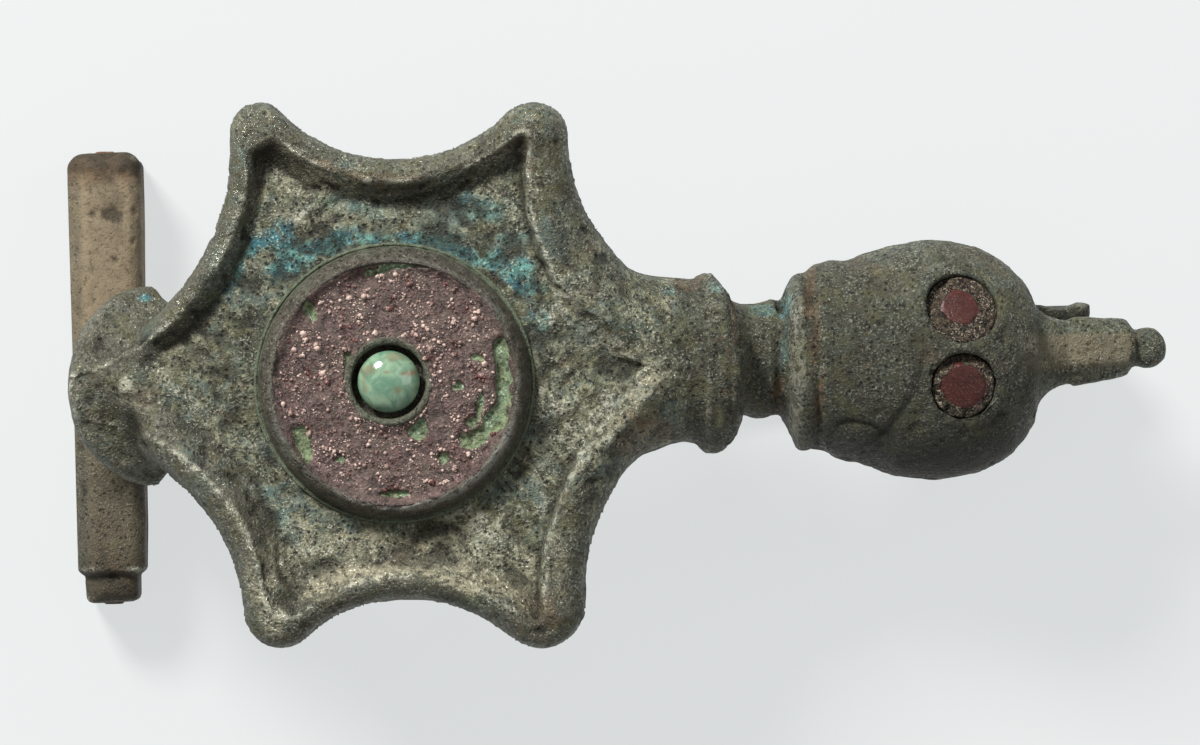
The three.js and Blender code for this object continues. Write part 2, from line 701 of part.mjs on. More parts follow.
function discSetting() {
  const dish = placed(turned([
    [0, 0],
    [DISC_RADIUS + DISC_FOOT_LEDGE, 0],
    [DISC_RADIUS + DISC_FOOT_LEDGE, DISC_FOOT_HEIGHT],
    [DISC_RADIUS, DISC_FOOT_HEIGHT],
    [DISC_RADIUS, DISC_HEIGHT - DISC_RIM_BEVEL],
    [DISC_RADIUS - DISC_RIM_BEVEL, DISC_HEIGHT],
    [DISC_RIM_INNER + DISC_RIM_BEVEL / 2, DISC_HEIGHT],
    [DISC_RIM_INNER, DISC_HEIGHT - DISC_RIM_BEVEL],
    [DISC_RIM_INNER, DISC_FLOOR],
    [0, DISC_FLOOR],
  ], ROUND_FACETS), discPlace);
  const cell = placed(turned([
    [0, DISC_FLOOR / 2],
    [CELL_RADIUS, DISC_FLOOR / 2],
    [CELL_RADIUS, CELL_HEIGHT - CELL_BEVEL],
    [CELL_RADIUS - CELL_BEVEL, CELL_HEIGHT],
    [0, CELL_HEIGHT],
  ], SMALL_FACETS), cellPlace);
  const well = placed(rod(CELL_INNER_RADIUS, WELL_FLOOR, CELL_HEIGHT + CUT_MARGIN, SMALL_FACETS), cellPlace);
  return dish.add(cell).subtract(well);
}

function enamelRing() {
  const outer = DISC_RIM_INNER - INLAY_FIT;
  const inner = CELL_RADIUS + INLAY_FIT;
  const middle = (outer + inner) / 2;
  const top = DISC_FLOOR + ENAMEL_THICKNESS;
  const body = placed(turned([
    [0, DISC_FLOOR],
    [outer, DISC_FLOOR],
    [outer, top],
    [middle, top + ENAMEL_CROWN],
    [0, top + ENAMEL_CROWN],
  ], ROUND_FACETS), discPlace);
  const hole = placed(rod(inner, 0, DISC_HEIGHT + CUT_MARGIN, SMALL_FACETS), cellPlace);
  return body.subtract(hole);
}

function glassBead() {
  const profile = [[0, 0], [BEAD_BASE_RADIUS, 0]];
  for (let i = 0; i < BEAD_STEPS; i += 1) {
    const angle = (Math.PI / 2) * (i / BEAD_STEPS);
    const rise = (BEAD_HEIGHT - BEAD_WAIST_HEIGHT) * Math.sin(angle);
    profile.push([BEAD_RADIUS * Math.cos(angle), BEAD_WAIST_HEIGHT + rise]);
  }
  profile.push([0, BEAD_HEIGHT]);
  const place = cellPlace.clone().add(point(0, 0, WELL_FLOOR));
  return placed(turned(profile, SMALL_FACETS), place);
}

// Pin: the eye that turns on the axle, and the shaft down to the tip on the ground.

function pinSolid() {
  const half = EYE_WIDTH / 2;
  const eye = solidOf(alongY(EYE_RADIUS, HINGE_Y - half, HINGE_Y + half, SMALL_FACETS));
  const bore = solidOf(alongY(AXLE_RADIUS + HINGE_FIT, HINGE_Y - EYE_WIDTH, HINGE_Y + EYE_WIDTH, SMALL_FACETS));
  const dip = Math.asin((AXLE_HEIGHT - PIN_TIP_RADIUS) / PIN_TAPER_REACH);
  const along = point(Math.cos(dip), 0, -Math.sin(dip));
  const start = AXLE_RADIUS + HINGE_FIT;
  const shaft = turned([
    [0, start],
    [PIN_ROOT_RADIUS, start],
    [PIN_ROOT_RADIUS, EYE_RADIUS * 2],
    [PIN_TIP_RADIUS, PIN_TAPER_REACH],
    [PIN_POINT_RADIUS, PIN_REACH],
    [0, PIN_REACH],
  ], SECTION_FACETS);
  const body = solidOf(aimed(shaft, along, point(0, HINGE_Y, AXLE_HEIGHT)));
  return eye.add(body).subtract(bore);
}

const bowSolid = [leftArm(), ringCollar(), foreBody(), crossbar(), catchplate()]
  .reduce((whole, piece) => whole.add(piece), plate())
  .subtract(hingeSlot())
  .subtract(solidOf(alongY(AXLE_RADIUS + AXLE_FIT, -BAR_LENGTH, BAR_LENGTH, SMALL_FACETS)))
  .subtract(socket(EYES.upper))
  .subtract(socket(EYES.lower));

const axleHalf = BAR_LENGTH / 2 + AXLE_PROUD;
const axleSolid = solidOf(alongY(AXLE_RADIUS, -axleHalf, axleHalf, SMALL_FACETS));

const FINISHES = {
  bow: { color: 0x4c4f42, roughness: 0.62, metalness: 0.35 },
  disc_setting: { color: 0x4a3f3c, roughness: 0.5, metalness: 0.4 },
  enamel_ring: { color: 0x6b4450, roughness: 0.7, metalness: 0 },
  glass_bead: { color: 0x5fa58c, roughness: 0.18, metalness: 0 },
  eye_inlay_upper: { color: 0x5c1f2a, roughness: 0.35, metalness: 0 },
  eye_inlay_lower: { color: 0x641d1c, roughness: 0.35, metalness: 0 },
  axle_rod: { color: 0x5a3a26, roughness: 0.85, metalness: 0.2 },
  pin: { color: 0x505142, roughness: 0.6, metalness: 0.4 },
};

function meshOf(name, solid) {
  const { vertProperties, triVerts } = solid.getMesh();
  const geometry = new THREE.BufferGeometry();
  geometry.setAttribute('position', new THREE.Float32BufferAttribute(vertProperties, 3));
  geometry.setIndex(new THREE.Uint32BufferAttribute(triVerts, 1));
  const flat = geometry.toNonIndexed();
  flat.computeVertexNormals();
  const mesh = new THREE.Mesh(flat, new THREE.MeshStandardMaterial(FINISHES[name]));
  mesh.name = name;
  return mesh;
}

const brooch = new THREE.Group();
brooch.name = 'fibula_brooch';
brooch.add(
  meshOf('bow', bowSolid),
  meshOf('disc_setting', discSetting()),
  meshOf('enamel_ring', enamelRing()),
  meshOf('glass_bead', glassBead()),
  meshOf('eye_inlay_upper', eyeInlay(EYES.upper)),
  meshOf('eye_inlay_lower', eyeInlay(EYES.lower)),
  meshOf('axle_rod', axleSolid),
  meshOf('pin', pinSolid()),
);

export default brooch;
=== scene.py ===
import cmath
import json
import math
import bpy
import numpy as np
import openvdb
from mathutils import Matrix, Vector

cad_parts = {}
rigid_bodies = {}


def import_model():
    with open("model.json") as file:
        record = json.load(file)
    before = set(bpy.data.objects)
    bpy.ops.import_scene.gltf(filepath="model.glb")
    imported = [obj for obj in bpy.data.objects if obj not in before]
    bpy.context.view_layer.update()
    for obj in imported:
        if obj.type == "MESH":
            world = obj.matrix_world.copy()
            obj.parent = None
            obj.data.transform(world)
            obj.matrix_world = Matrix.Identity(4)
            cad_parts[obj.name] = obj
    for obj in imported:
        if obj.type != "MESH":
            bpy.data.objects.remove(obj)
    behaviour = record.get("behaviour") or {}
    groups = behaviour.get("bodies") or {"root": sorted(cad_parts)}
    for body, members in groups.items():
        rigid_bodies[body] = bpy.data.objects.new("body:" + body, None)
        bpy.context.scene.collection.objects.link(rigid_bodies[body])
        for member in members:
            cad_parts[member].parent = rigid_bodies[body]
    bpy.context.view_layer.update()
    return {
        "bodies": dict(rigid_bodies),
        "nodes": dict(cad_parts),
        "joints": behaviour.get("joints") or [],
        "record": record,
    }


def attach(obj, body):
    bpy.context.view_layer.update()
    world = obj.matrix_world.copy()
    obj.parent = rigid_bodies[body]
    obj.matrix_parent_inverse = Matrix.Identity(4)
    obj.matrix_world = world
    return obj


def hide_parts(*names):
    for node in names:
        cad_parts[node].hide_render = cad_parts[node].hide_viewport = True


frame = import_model()

MM = 0.001

# Sizes in millimetres. Crossbar, axle and pin.
BAR_LENGTH, BAR_WIDTH, BAR_HEIGHT = 23.1, 3.85, 4.2
BAR_BEVEL, BAR_FOOT_BEVEL = 0.9, 0.45
BAR_TAPER, BAR_CORNER = 0.22, 0.75
BAR_STEP, BAR_STEP_DEPTH = 1.5, 0.35
AXLE_RADIUS, AXLE_HEIGHT, AXLE_PROUD = 0.55, 2.1, 0.12
HINGE_Y, EYE_RADIUS, EYE_WIDTH = -1.7, 1.25, 1.5
PIN_ROOT, PIN_TIP, PIN_TAPER, PIN_REACH = 0.75, 0.42, 44.0, 46.6
# Six-pointed plate.
STAR_X, STAR_Y = 15.0, -0.55
FIELD_TOP, RIM_HEIGHT, RIM_FALL, PLATE_THICKNESS = 13.9, 1.0, 1.5, 1.5
UNDER_INSET, LEAST_WALL, ROUNDING = 0.7, 0.4, 0.07
LEFT_CUT, RIGHT_CUT = 16.6, 15.4
# Where the sunk field ends in each point: turn, reach.
FIELD_TIPS = ((118.7, 13.35), (60.3, 13.87), (-59.1, 13.73), (-119.5, 12.64))
# Each bay's circle at the outline and at the crest: away, turn, radius; then its inner wall's width.
BAYS = (
    ((19.21, 88.9, 7.97), (19.21, 88.9, 9.05), 1.2),
    ((22.44, 147.3, 10.85), (22.44, 147.3, 11.7), 1.0),
    ((20.69, -145.4, 9.19), (20.69, -145.4, 10.3), 1.7),
    ((18.8, -88.9, 7.9), (18.8, -88.9, 9.0), 1.1),
    ((21.59, -29.9, 9.34), (24.36, -27.5, 14.27), 0.4),
    ((20.79, 35.1, 8.02), (19.56, 31.1, 9.78), 0.4),
)
# Rounded points: the bays on both sides, and the radius.
POINTS = ((0, 1, 1.5), (2, 3, 1.9), (3, 4, 2.25), (5, 0, 1.8))
LEFT_BEND_START, LEFT_BEND_RADIUS = 8.2, 8.56
RIGHT_BEND_START, RIGHT_BEND_LENGTH = 6.9, 6.0
NECK_LEAN, RING_LEAN = math.radians(16), math.radians(56)
# Left arm and its ring collar.
ARM_Y, ARM_CROWN, ARM_COVER = -0.45, 0.1, 1.35
ARM_WAIST, ARM_END_WIDTH, ARM_START_DEPTH, ARM_END_DEPTH = 3.1, 3.9, 2.0, 7.6
SHANK_WIDTH, SHANK_DEPTH, SHANK_SINK = 2.6, 1.7, 0.9
RING_RADIUS, RING_EDGE, RING_THICKNESS = 4.95, 4.5, 1.1
RING_X, RING_Z = 2.75, 9.15
# Fore body: the run of sections from the right arm to the knob.
UNDER_FLATNESS, HEAD_Z = 0.6, 8.4
NECK_BEND_X, NECK_BEND_LENGTH = 34.0, 1.0
HEAD_BASE_X, HEAD_BASE_WIDTH = 36.7, 4.95
HEAD_PEAK_X, HEAD_BASE_TOP, HEAD_TOP = 41.2, 4.6, 4.95
HEAD_TOP_LENGTH, HEAD_TOP_POWER = 7.2, 2.3
BEAK_X, BEAK_END_X = 48.2, 52.35
KNOB_RADIUS, KNOB_X, KNOB_Y = 1.05, 53.12, 0.46
# Outline of the neck, collars, head and beak from above: x, far edge, near edge.
FORE_EDGES = (
    (22.5, 3.0, -3.0), (28.4, 4.25, -3.8), (29.2, 4.32, -3.62), (29.75, 4.34, -3.85), (30.1, 4.5, -4.0),
    (30.5, 4.72, -4.35), (30.8, 4.7, -4.45), (31.05, 4.5, -4.45), (31.3, 3.95, -4.4), (31.6, 3.5, -4.05),
    (31.9, 3.32, -3.4), (32.2, 3.2, -2.7), (32.5, 3.1, -2.5), (33.1, 3.16, -2.68), (33.5, 3.2, -2.74),
    (34.0, 3.32, -2.52), (34.3, 3.35, -2.45), (34.55, 3.2, -2.7), (34.85, 4.15, -3.5), (35.15, 4.5, -4.25),
    (35.45, 4.66, -4.46), (35.8, 4.6, -4.38), (36.0, 4.82, -4.3), (36.15, 5.0, -4.3), (36.5, 5.05, -4.34),
    (36.8, 5.13, -4.52), (37.1, 5.17, -4.76), (37.7, 5.1, -4.93), (38.2, 5.22, -5.04), (39.0, 5.56, -5.37),
    (40.2, 5.9, -5.82), (41.4, 6.13, -5.98), (42.2, 6.22, -6.03), (43.2, 6.1, -5.97), (44.4, 5.84, -5.75),
    (45.1, 5.54, -5.48), (45.7, 5.17, -5.14), (46.3, 4.7, -4.64), (46.9, 4.0, -3.9), (47.5, 3.12, -3.0),
    (48.0, 2.5, -2.0), (48.5, 2.28, -1.68), (49.3, 2.15, -1.44), (50.5, 2.08, -1.27), (51.7, 2.03, -1.04),
    (52.1, 1.95, -0.9), (52.33, 1.5, -0.5), (52.45, 1.2, -0.2),
)
# Eyes: x, y, radius of the socket, radius of the red.
EYES = {"upper": (43.61, 2.79, 1.85, 0.95), "lower": (43.63, -1.33, 1.65, 1.15)}
SOCKET_DEPTH = 1.05
# Catch.
CATCH_Y, CATCH_THICKNESS = 2.0, 0.7
HOOK_X = (38.6, 48.7)
HOOK_REACH, HOOK_FLOOR, HOOK_LIP, HOOK_LIP_HEIGHT = 2.7, 0.75, 0.6, 2.5
# Disc setting and inlays.
DISC_FLOOR, CELL_X, CELL_Y = 0.5, -0.27, 0.07
BEAD_RADIUS, BEAD_MIDDLE = 1.56, 0.87
ENAMEL_TOP = DISC_FLOOR + 0.68
# Grid that the bow is worked out in: cell, how far its values reach, the two corners of its box.
GRID, REACH = 0.155, 1.2
LOW, HIGH = np.array((-2.6, -15.0, -0.62)), np.array((55.0, 14.6, 15.6))
# Share of the bow's faces that is kept, and the cells along each side of a noise table.
KEPT_FACES, NOISE_CELLS = 0.62, 32


def mix(a, b, t):
    return a + (b - a) * t


def ease(t):
    return (1 - np.cos(np.pi * np.clip(t, 0.0, 1.0))) / 2


def ramp(low, high, value):
    """Smooth from 0 at low to 1 at high; low may be the greater."""
    t = np.clip((value - low) / (high - low), 0.0, 1.0)
    return t * t * (3 - 2 * t)


def window(value, start, full, last, end):
    """0 outside start to end, 1 from full to last."""
    return ramp(start, full, value) * ramp(end, last, value)


def bell(value, wide):
    return np.exp(-(value / wide) ** 2)


def soft_min(a, b, k):
    h = np.clip(0.5 + 0.5 * (b - a) / k, 0.0, 1.0)
    return b + (a - b) * h - k * h * (1 - h)


def soft_max(a, b, k):
    return -soft_min(-a, -b, k)


def turned(x, y, degrees):
    """x and y seen from axes turned by so many degrees."""
    c, s = math.cos(math.radians(degrees)), math.sin(math.radians(degrees))
    return x * c + y * s, y * c - x * s


def between_corners(f, corner_value):
    """Blend of a cell's eight corners at the fractions f across it."""
    total = 0
    for corner in np.ndindex(2, 2, 2):
        weight = 1.0
        for axis in range(3):
            weight = weight * (f[:, axis] if corner[axis] else 1 - f[:, axis])
        total = total + weight * corner_value(corner)
    return total


def noise(points, size, seed, octaves=3):
    """Smooth value noise, about -1 to 1, at points (n, 3) in millimetres."""
    total, weight = np.zeros(len(points), np.float32), 1.0
    for octave in range(octaves):
        rng = np.random.default_rng(seed + octave)
        table = rng.uniform(-1, 1, (NOISE_CELLS,) * 3).astype(np.float32)
        p = points / (size / 2 ** octave) + rng.uniform(0, NOISE_CELLS, 3)
        cell = np.floor(p).astype(np.int64)
        f = (p - cell).astype(np.float32)
        f = f * f * (3 - 2 * f)
        total += weight * between_corners(f, lambda corner: table[tuple(((cell + corner) % NOISE_CELLS).T)])
        weight *= 0.55
    return total


def near_side(circle, angle):
    """Reach from the plate's middle to the near side of a bay's circle."""
    away, turn, radius = circle
    swing = angle - math.radians(turn)
    reach = radius ** 2 - (away * np.sin(swing)) ** 2
    hit = (np.cos(swing) > 0) & (reach > 0)
    return np.where(hit, away * np.cos(swing) - np.sqrt(np.maximum(reach, 0)), 99.0)


def wrapped(angle):
    return np.arctan2(np.sin(angle), np.cos(angle))


def rounded_points():
    """Away, turn, radius and both limits of the arc that rounds each point between two bays."""
    for first, second, radius in POINTS:
        (a, a_reach), (b, b_reach) = (
            (cmath.rect(away, math.radians(turn)), bay_radius + radius)
            for away, turn, bay_radius in (BAYS[first][0], BAYS[second][0]))
        span = abs(b - a)
        along = (a_reach ** 2 - b_reach ** 2 + span ** 2) / (2 * span)
        aside = math.sqrt(a_reach ** 2 - along ** 2)
        centre = min((a + (b - a) / span * complex(along, side) for side in (aside, -aside)), key=abs)
        limits = [cmath.phase((centre + (c - centre) / abs(c - centre) * radius) / centre) for c in (a, b)]
        yield abs(centre), cmath.phase(centre), radius, min(limits), max(limits)


ROUNDED = tuple(rounded_points())


def outline_reach(angle):
    reach = np.min([near_side(bay[0], angle) for bay in BAYS], axis=0)
    for away, middle, radius, low, high in ROUNDED:
        swing = wrapped(angle - middle)
        far = away * np.cos(swing) + np.sqrt(np.maximum(radius ** 2 - (away * np.sin(swing)) ** 2, 0))
        reach = np.where((swing > low) & (swing < high), far, reach)
    cut = np.where(np.cos(angle) > 0, RIGHT_CUT, LEFT_CUT)
    return np.minimum(reach, cut / np.maximum(np.abs(np.cos(angle)), 1e-3))


def crest_reach(angle):
    crest = np.min([near_side(bay[1], angle) for bay in BAYS], axis=0)
    for turn, reach in FIELD_TIPS:
        swing = wrapped(angle - math.radians(turn))
        cap = (reach + LEAST_WALL) / np.maximum(np.cos(swing), 0.2)
        crest = np.where(np.abs(swing) < 0.5, soft_min(crest, cap, 0.5), crest)
    return np.minimum(crest, outline_reach(angle) - 0.3)


def field_reach(angle):
    walls = [near_side((away, turn, radius + wall), angle) for _, (away, turn, radius), wall in BAYS]
    return np.minimum(np.min(walls, axis=0), crest_reach(angle) - LEAST_WALL)


def curve_distance(reach, x, y, count=900):
    """Distance from the points x, y to a closed curve given by its reach at each angle."""
    angle = np.linspace(-math.pi, math.pi, count + 1)
    r = reach(angle)
    px, py = r * np.cos(angle), r * np.sin(angle)
    best = np.full(x.shape, 1e9, np.float32)
    for i in range(count):
        bx, by = px[i + 1] - px[i], py[i + 1] - py[i]
        dx, dy = x - px[i], y - py[i]
        t = np.clip((dx * bx + dy * by) / max(bx * bx + by * by, 1e-9), 0, 1)
        best = np.minimum(best, (dx - t * bx) ** 2 + (dy - t * by) ** 2)
    return np.sqrt(best)


def plate_fall(x):
    """How far the bent plate has come down at x, and how much steeper it is there."""
    left = np.sqrt(np.maximum(LEFT_BEND_RADIUS ** 2 - np.maximum(-x - LEFT_BEND_START, 0) ** 2, 4.0))
    bent = np.clip(x - RIGHT_BEND_START, 0, RIGHT_BEND_LENGTH)
    slope = math.tan(NECK_LEAN)
    right = slope * (bent ** 2 / (2 * RIGHT_BEND_LENGTH) + np.maximum(x - RIGHT_BEND_START - bent, 0))
    steep = np.where(x < 0, LEFT_BEND_RADIUS / left, np.hypot(1, slope * bent / RIGHT_BEND_LENGTH))
    return np.where(x < 0, LEFT_BEND_RADIUS - left, right), steep


SHAPE = np.ceil((HIGH - LOW) / GRID).astype(int)
AXES = [LOW[i] + GRID * np.arange(SHAPE[i]) for i in range(3)]
field = np.full(SHAPE, REACH, np.float32)


def blurred(values, reach):
    """Two box passes of a half width in cells along each axis."""
    out = np.clip(values, -REACH, REACH).astype(np.float32)
    size = 2 * reach + 1
    for axis in (0, 0, 1, 1, 2, 2):
        pad = [(0, 0)] * 3
        pad[axis] = (reach + 1, reach)
        total = np.cumsum(np.pad(out, pad, mode="edge"), axis=axis, dtype=np.float32)
        ahead, behind = [slice(None)] * 3, [slice(None)] * 3
        ahead[axis], behind[axis] = slice(size, None), slice(0, -size)
        out = (total[tuple(ahead)] - total[tuple(behind)]) / size
    return out


def block(low, high):
    """The slice of the grid between two corners, and its coordinates ready to broadcast."""
    start = [max(int((low[i] - LOW[i]) / GRID), 0) for i in range(3)]
    stop = [min(int((high[i] - LOW[i]) / GRID) + 2, SHAPE[i]) for i in range(3)]
    cut = tuple(slice(a, b) for a, b in zip(start, stop))
    x, y, z = (AXES[i][cut[i]].astype(np.float32) for i in range(3))
    return cut, x[:, None, None], y[None, :, None], z[None, None, :]


def add(cut, value, k):
    field[cut] = soft_min(field[cut], value.astype(np.float32), k)


def remove(cut, value, k=0.08):
    field[cut] = soft_max(field[cut], -value.astype(np.float32), k)


def soften(cut, reach, weight):
    field[cut] = mix(field[cut], blurred(field[cut], reach), weight).astype(np.float32)


def plate_maps(x, y):
    """Height of the plate's upper face and the distance outside its outline, over x, y."""
    angle, r = np.arctan2(y, x), np.hypot(x, y)
    curves = outline_reach, crest_reach, field_reach
    to_outline, to_crest, to_field = (curve_distance(curve, x, y) for curve in curves)
    outside = np.where(r < outline_reach(angle), -to_outline, to_outline) - ROUNDING
    wall = to_field / np.maximum(to_field + to_crest, 1e-3)
    flank = to_crest / np.maximum(to_crest + to_outline, 1e-3)
    on_wall = (r >= field_reach(angle)) & (r < crest_reach(angle))
    ends = 0.75 * ramp(10.5, 14.0, -x) + 0.25 * ramp(13.0, 14.6, -x)
    ends = ends + 0.55 * ramp(11.5, 14.0, x) * ramp(2.4, 0.2, np.abs(y - 0.7))
    climb = np.where(on_wall, ramp(-0.15, 1.12, wall), 0.0)
    rise = RIM_HEIGHT * (1 - (1 - climb) * (1 - ends))
    toward_ring = ramp(9.5, 13.5, -x)
    fall = RIM_FALL + 2.2 * ramp(8.0, 13.5, x) + 1.0 * toward_ring
    drop = fall * (1 - np.sqrt(np.maximum(1 - flank ** (2.2 - 0.5 * toward_ring), 0)))
    rise = np.where(r >= crest_reach(angle), RIM_HEIGHT - drop, rise)
    rise = rise - ramp(12.0, 14.5, -x) * 0.42 * np.minimum(np.abs(y - 0.1), 2.5) ** 2
    return rise - 1.7 * ramp(13.2, 15.2, x), outside


def ring_frame(x, y, z):
    """Place along the ring collar's axis, up its face, and away from its axis."""
    dx, dy, dz = x - RING_X, y - ARM_Y, z - RING_Z
    along = dx * math.cos(RING_LEAN) + dz * math.sin(RING_LEAN) + 0 * dy
    outward = -dx * math.sin(RING_LEAN) + dz * math.cos(RING_LEAN) + 0 * dy
    return along, outward, np.sqrt(outward ** 2 + dy ** 2)


def add_plate():
    cut, x, y, z = block((-2.4, -15, 6.0), (30.6, 14.6, 15.6))
    u, v = np.broadcast_arrays(x[:, :, 0] - STAR_X, y[:, :, 0] - STAR_Y)
    rise, outside = plate_maps(u, v)
    fall, steep = plate_fall(u)
    top = FIELD_TOP - fall + rise * steep
    under = FIELD_TOP - fall - (PLATE_THICKNESS + 1.6 * ramp(8.0, 13.5, u)) * steep
    slope = np.hypot(1, np.hypot(*np.gradient(top, GRID)))
    above = (z - top[:, :, None]) / np.minimum(slope, 3)[:, :, None]
    below = (under[:, :, None] - z) / steep[:, :, None]
    lean = np.clip((top[:, :, None] - z) / (RIM_FALL + PLATE_THICKNESS), 0, 1)
    body = soft_max(soft_max(above, below, 0.25), outside[:, :, None] + UNDER_INSET * lean, 0.3)
    along, _, radius = ring_frame(x, y, z)
    body = soft_max(body, -along, 0.3)
    cone = (radius - RING_RADIUS + 0.15 - 1.1 * np.maximum(along, 0)) / 1.4
    add(cut, np.where(x < 5, soft_max(body, cone, 0.4), body), 0.25)


def swept(cut, x, y, z, spine, k):
    """Adds a body of oval sections along a spine in the XZ plane, one row per station:
    x, z, the section's up direction (x, z), centre y, half width, top and under heights."""
    plane_x, plane_z = np.broadcast_arrays(x[:, 0, :], z[:, 0, :])
    flat_x, flat_z = plane_x.ravel(), plane_z.ravel()
    nearest = np.empty(flat_x.size, np.int64)
    for start in range(0, flat_x.size, 20000):
        part = slice(start, start + 20000)
        d = (flat_x[part, None] - spine[None, :, 0]) ** 2 + (flat_z[part, None] - spine[None, :, 1]) ** 2
        nearest[part] = d.argmin(axis=1)
    s = spine[nearest]
    run_x, run_z = np.gradient(spine[:, 0]), np.gradient(spine[:, 1])
    run = np.hypot(run_x, run_z) * np.sign(run_x * spine[:, 3] - run_z * spine[:, 2])
    up_x, up_z = (-run_z / run)[nearest], (run_x / run)[nearest]
    dx, dz = flat_x - s[:, 0], flat_z - s[:, 1]
    at_end = (nearest == 0) | (nearest == len(spine) - 1)
    change = np.gradient(spine[:, 5]) / np.hypot(run_x, run_z)
    height, beyond, centre, width, top, low, steep = (
        values.reshape(plane_x.shape)[:, None, :] for values in (
            dx * up_x + dz * up_z, np.where(at_end, np.abs(dx * up_z - dz * up_x), 0.0),
            s[:, 4], s[:, 5], s[:, 6], s[:, 7], np.hypot(1, change[nearest])))
    deep = np.where(height > 0, top, low)
    across, rise = (y - centre) / width, height / deep
    q = np.sqrt(across ** 2 + rise ** 2) + 1e-4
    slope = np.sqrt((across / width) ** 2 + (rise / deep) ** 2) / q
    body = (q - 1) / np.maximum(slope, 0.02) / steep
    add(cut, np.maximum(body, beyond - GRID / 2), k)


def add_left_arm():
    hub_x, hub_z = STAR_X - LEFT_BEND_START, FIELD_TOP + RIM_HEIGHT - LEFT_BEND_RADIUS
    rows = []
    for t in np.linspace(0, 1, 160):
        up = (-math.sin(RING_LEAN * t), math.cos(RING_LEAN * t))
        crown = LEFT_BEND_RADIUS - mix(ARM_COVER + RIM_HEIGHT / 2, ARM_CROWN, ease(t ** 2))
        deep = mix(ARM_START_DEPTH, ARM_END_DEPTH, ease(t)) / 2
        rows.append((hub_x + up[0] * (crown - deep), hub_z + up[1] * (crown - deep), *up, ARM_Y,
                     mix(ARM_WAIST, ARM_END_WIDTH, ease(t)), deep, deep))
    start = rows[-1]
    knee_z, foot_z = start[1] - start[0] * math.tan(RING_LEAN), BAR_HEIGHT - SHANK_SINK
    for t in np.linspace(0, 1, 160)[1:]:
        lean = mix(RING_LEAN, math.pi / 2, t)
        deep = mix(start[6], SHANK_DEPTH, ease(t))
        z = (1 - t) ** 2 * start[1] + 2 * t * (1 - t) * knee_z + t * t * foot_z
        rows.append(((1 - t) ** 2 * start[0], z, -math.sin(lean), math.cos(lean), mix(ARM_Y, 0, t),
                     mix(start[5], SHANK_WIDTH, ease(t)), deep, deep))
    swept(*block((-3, -5.5, 2.5), (9, 5.5, 15)), np.array(rows, np.float32), 0.3)


def add_ring():
    cut, x, y, z = block((-2.6, -6.2, 7), (6, 5.6, 13.4))
    along, outward, radius = ring_frame(x, y, z)
    half = RING_THICKNESS / 2
    rim = np.hypot(np.maximum(radius - RING_EDGE, 0), along) - half
    flange = np.where(radius > RING_EDGE, rim, np.abs(along) - half)
    add(cut, soft_max(flange, 0.4 - outward, 0.15), mix(0.2, 2.2, ramp(-0.4, 0.6, along)))
    inner = window(x, -2.6, -2.2, 4.6, 5.9) * ramp(6.0, 5.2, np.abs(y + 0.3)) * ramp(7.1, 8.0, z)
    inner = inner * ramp(RING_RADIUS - 0.2, RING_RADIUS - 0.9, radius) * window(along, -0.2, 0.4, 1.3, 2.2)
    soften(cut, 2, inner)


def head_top_at(x):
    peak = mix(HEAD_BASE_TOP, HEAD_TOP, ease((x - HEAD_BASE_X) / (HEAD_PEAK_X - HEAD_BASE_X)))
    t = np.clip((x - HEAD_PEAK_X) / HEAD_TOP_LENGTH, 0, 0.999)
    dome = HEAD_TOP * (1 - t ** HEAD_TOP_POWER) ** (1 / HEAD_TOP_POWER)
    return np.where(x < HEAD_PEAK_X, peak, dome)


def eased(values, reach=2):
    """A run of values with its corners rounded off."""
    share = np.ones(2 * reach + 1) / (2 * reach + 1)
    for _ in range(2):
        values = np.convolve(np.pad(values, reach, mode="edge"), share, "valid")
    return values


def add_fore_body():
    x = np.arange(22.5, 52.45, 0.05)
    stations, far, near = np.array(FORE_EDGES).T
    high, low = eased(np.interp(x, stations, far)), eased(np.interp(x, stations, near))
    w, y = (high - low) / 2, (high + low) / 2
    t = (NECK_BEND_X - x) / NECK_BEND_LENGTH
    bend = np.clip((t + 1) / 2, 0, 1)
    z = HEAD_Z + math.tan(NECK_LEAN) * NECK_BEND_LENGTH * np.where(t > 1, t, bend ** 2)
    lead = ease((x - 22.5) / 6.5)
    z = mix(FIELD_TOP - PLATE_THICKNESS / 2 - plate_fall(x - STAR_X)[0], z, lead)
    onto_head, onto_beak = ramp(36.2, 37.2, x), ramp(47.2, 48.3, x)
    belly = mix(HEAD_BASE_WIDTH * UNDER_FLATNESS, 1.5, ease(((x - 37.0) / 11.2).clip(0, 1) ** 2))
    top = mix(mix(0.3, w, lead), head_top_at(x), onto_head)
    under = mix(mix(0.3, w * UNDER_FLATNESS, lead), belly, onto_head)
    beak = (BEAK_X, BEAK_END_X)
    top = mix(top, np.interp(x, beak, (1.85, 1.35)), onto_beak)
    under = mix(under, np.interp(x, beak, (1.5, 1.0)), onto_beak)
    z = np.where(x > BEAK_X, HEAD_Z - 0.2 * (x - BEAK_X) / (BEAK_END_X - BEAK_X), z)
    lean = NECK_LEAN * bend
    spine = np.stack([x, z, np.sin(lean), np.cos(lean), y, w, top, under], axis=1).astype(np.float32)
    cut, bx, by, bz = block((21, -7.5, 4.5), (53.2, 7.5, 14.6))
    blend = 0.2 + 1.5 * window(bx, 25.5, 28.0, 29.6, 30.6)
    swept(cut, bx, by, bz, spine, blend + 0 * by + 0 * bz)
    cut, bx, by, bz = block((25.5, -6.5, 4.5), (30.6, 6.5, 14.6))
    soften(cut, 2, window(bx, 25.6, 26.8, 29.9, 30.5) + 0 * by + 0 * bz)


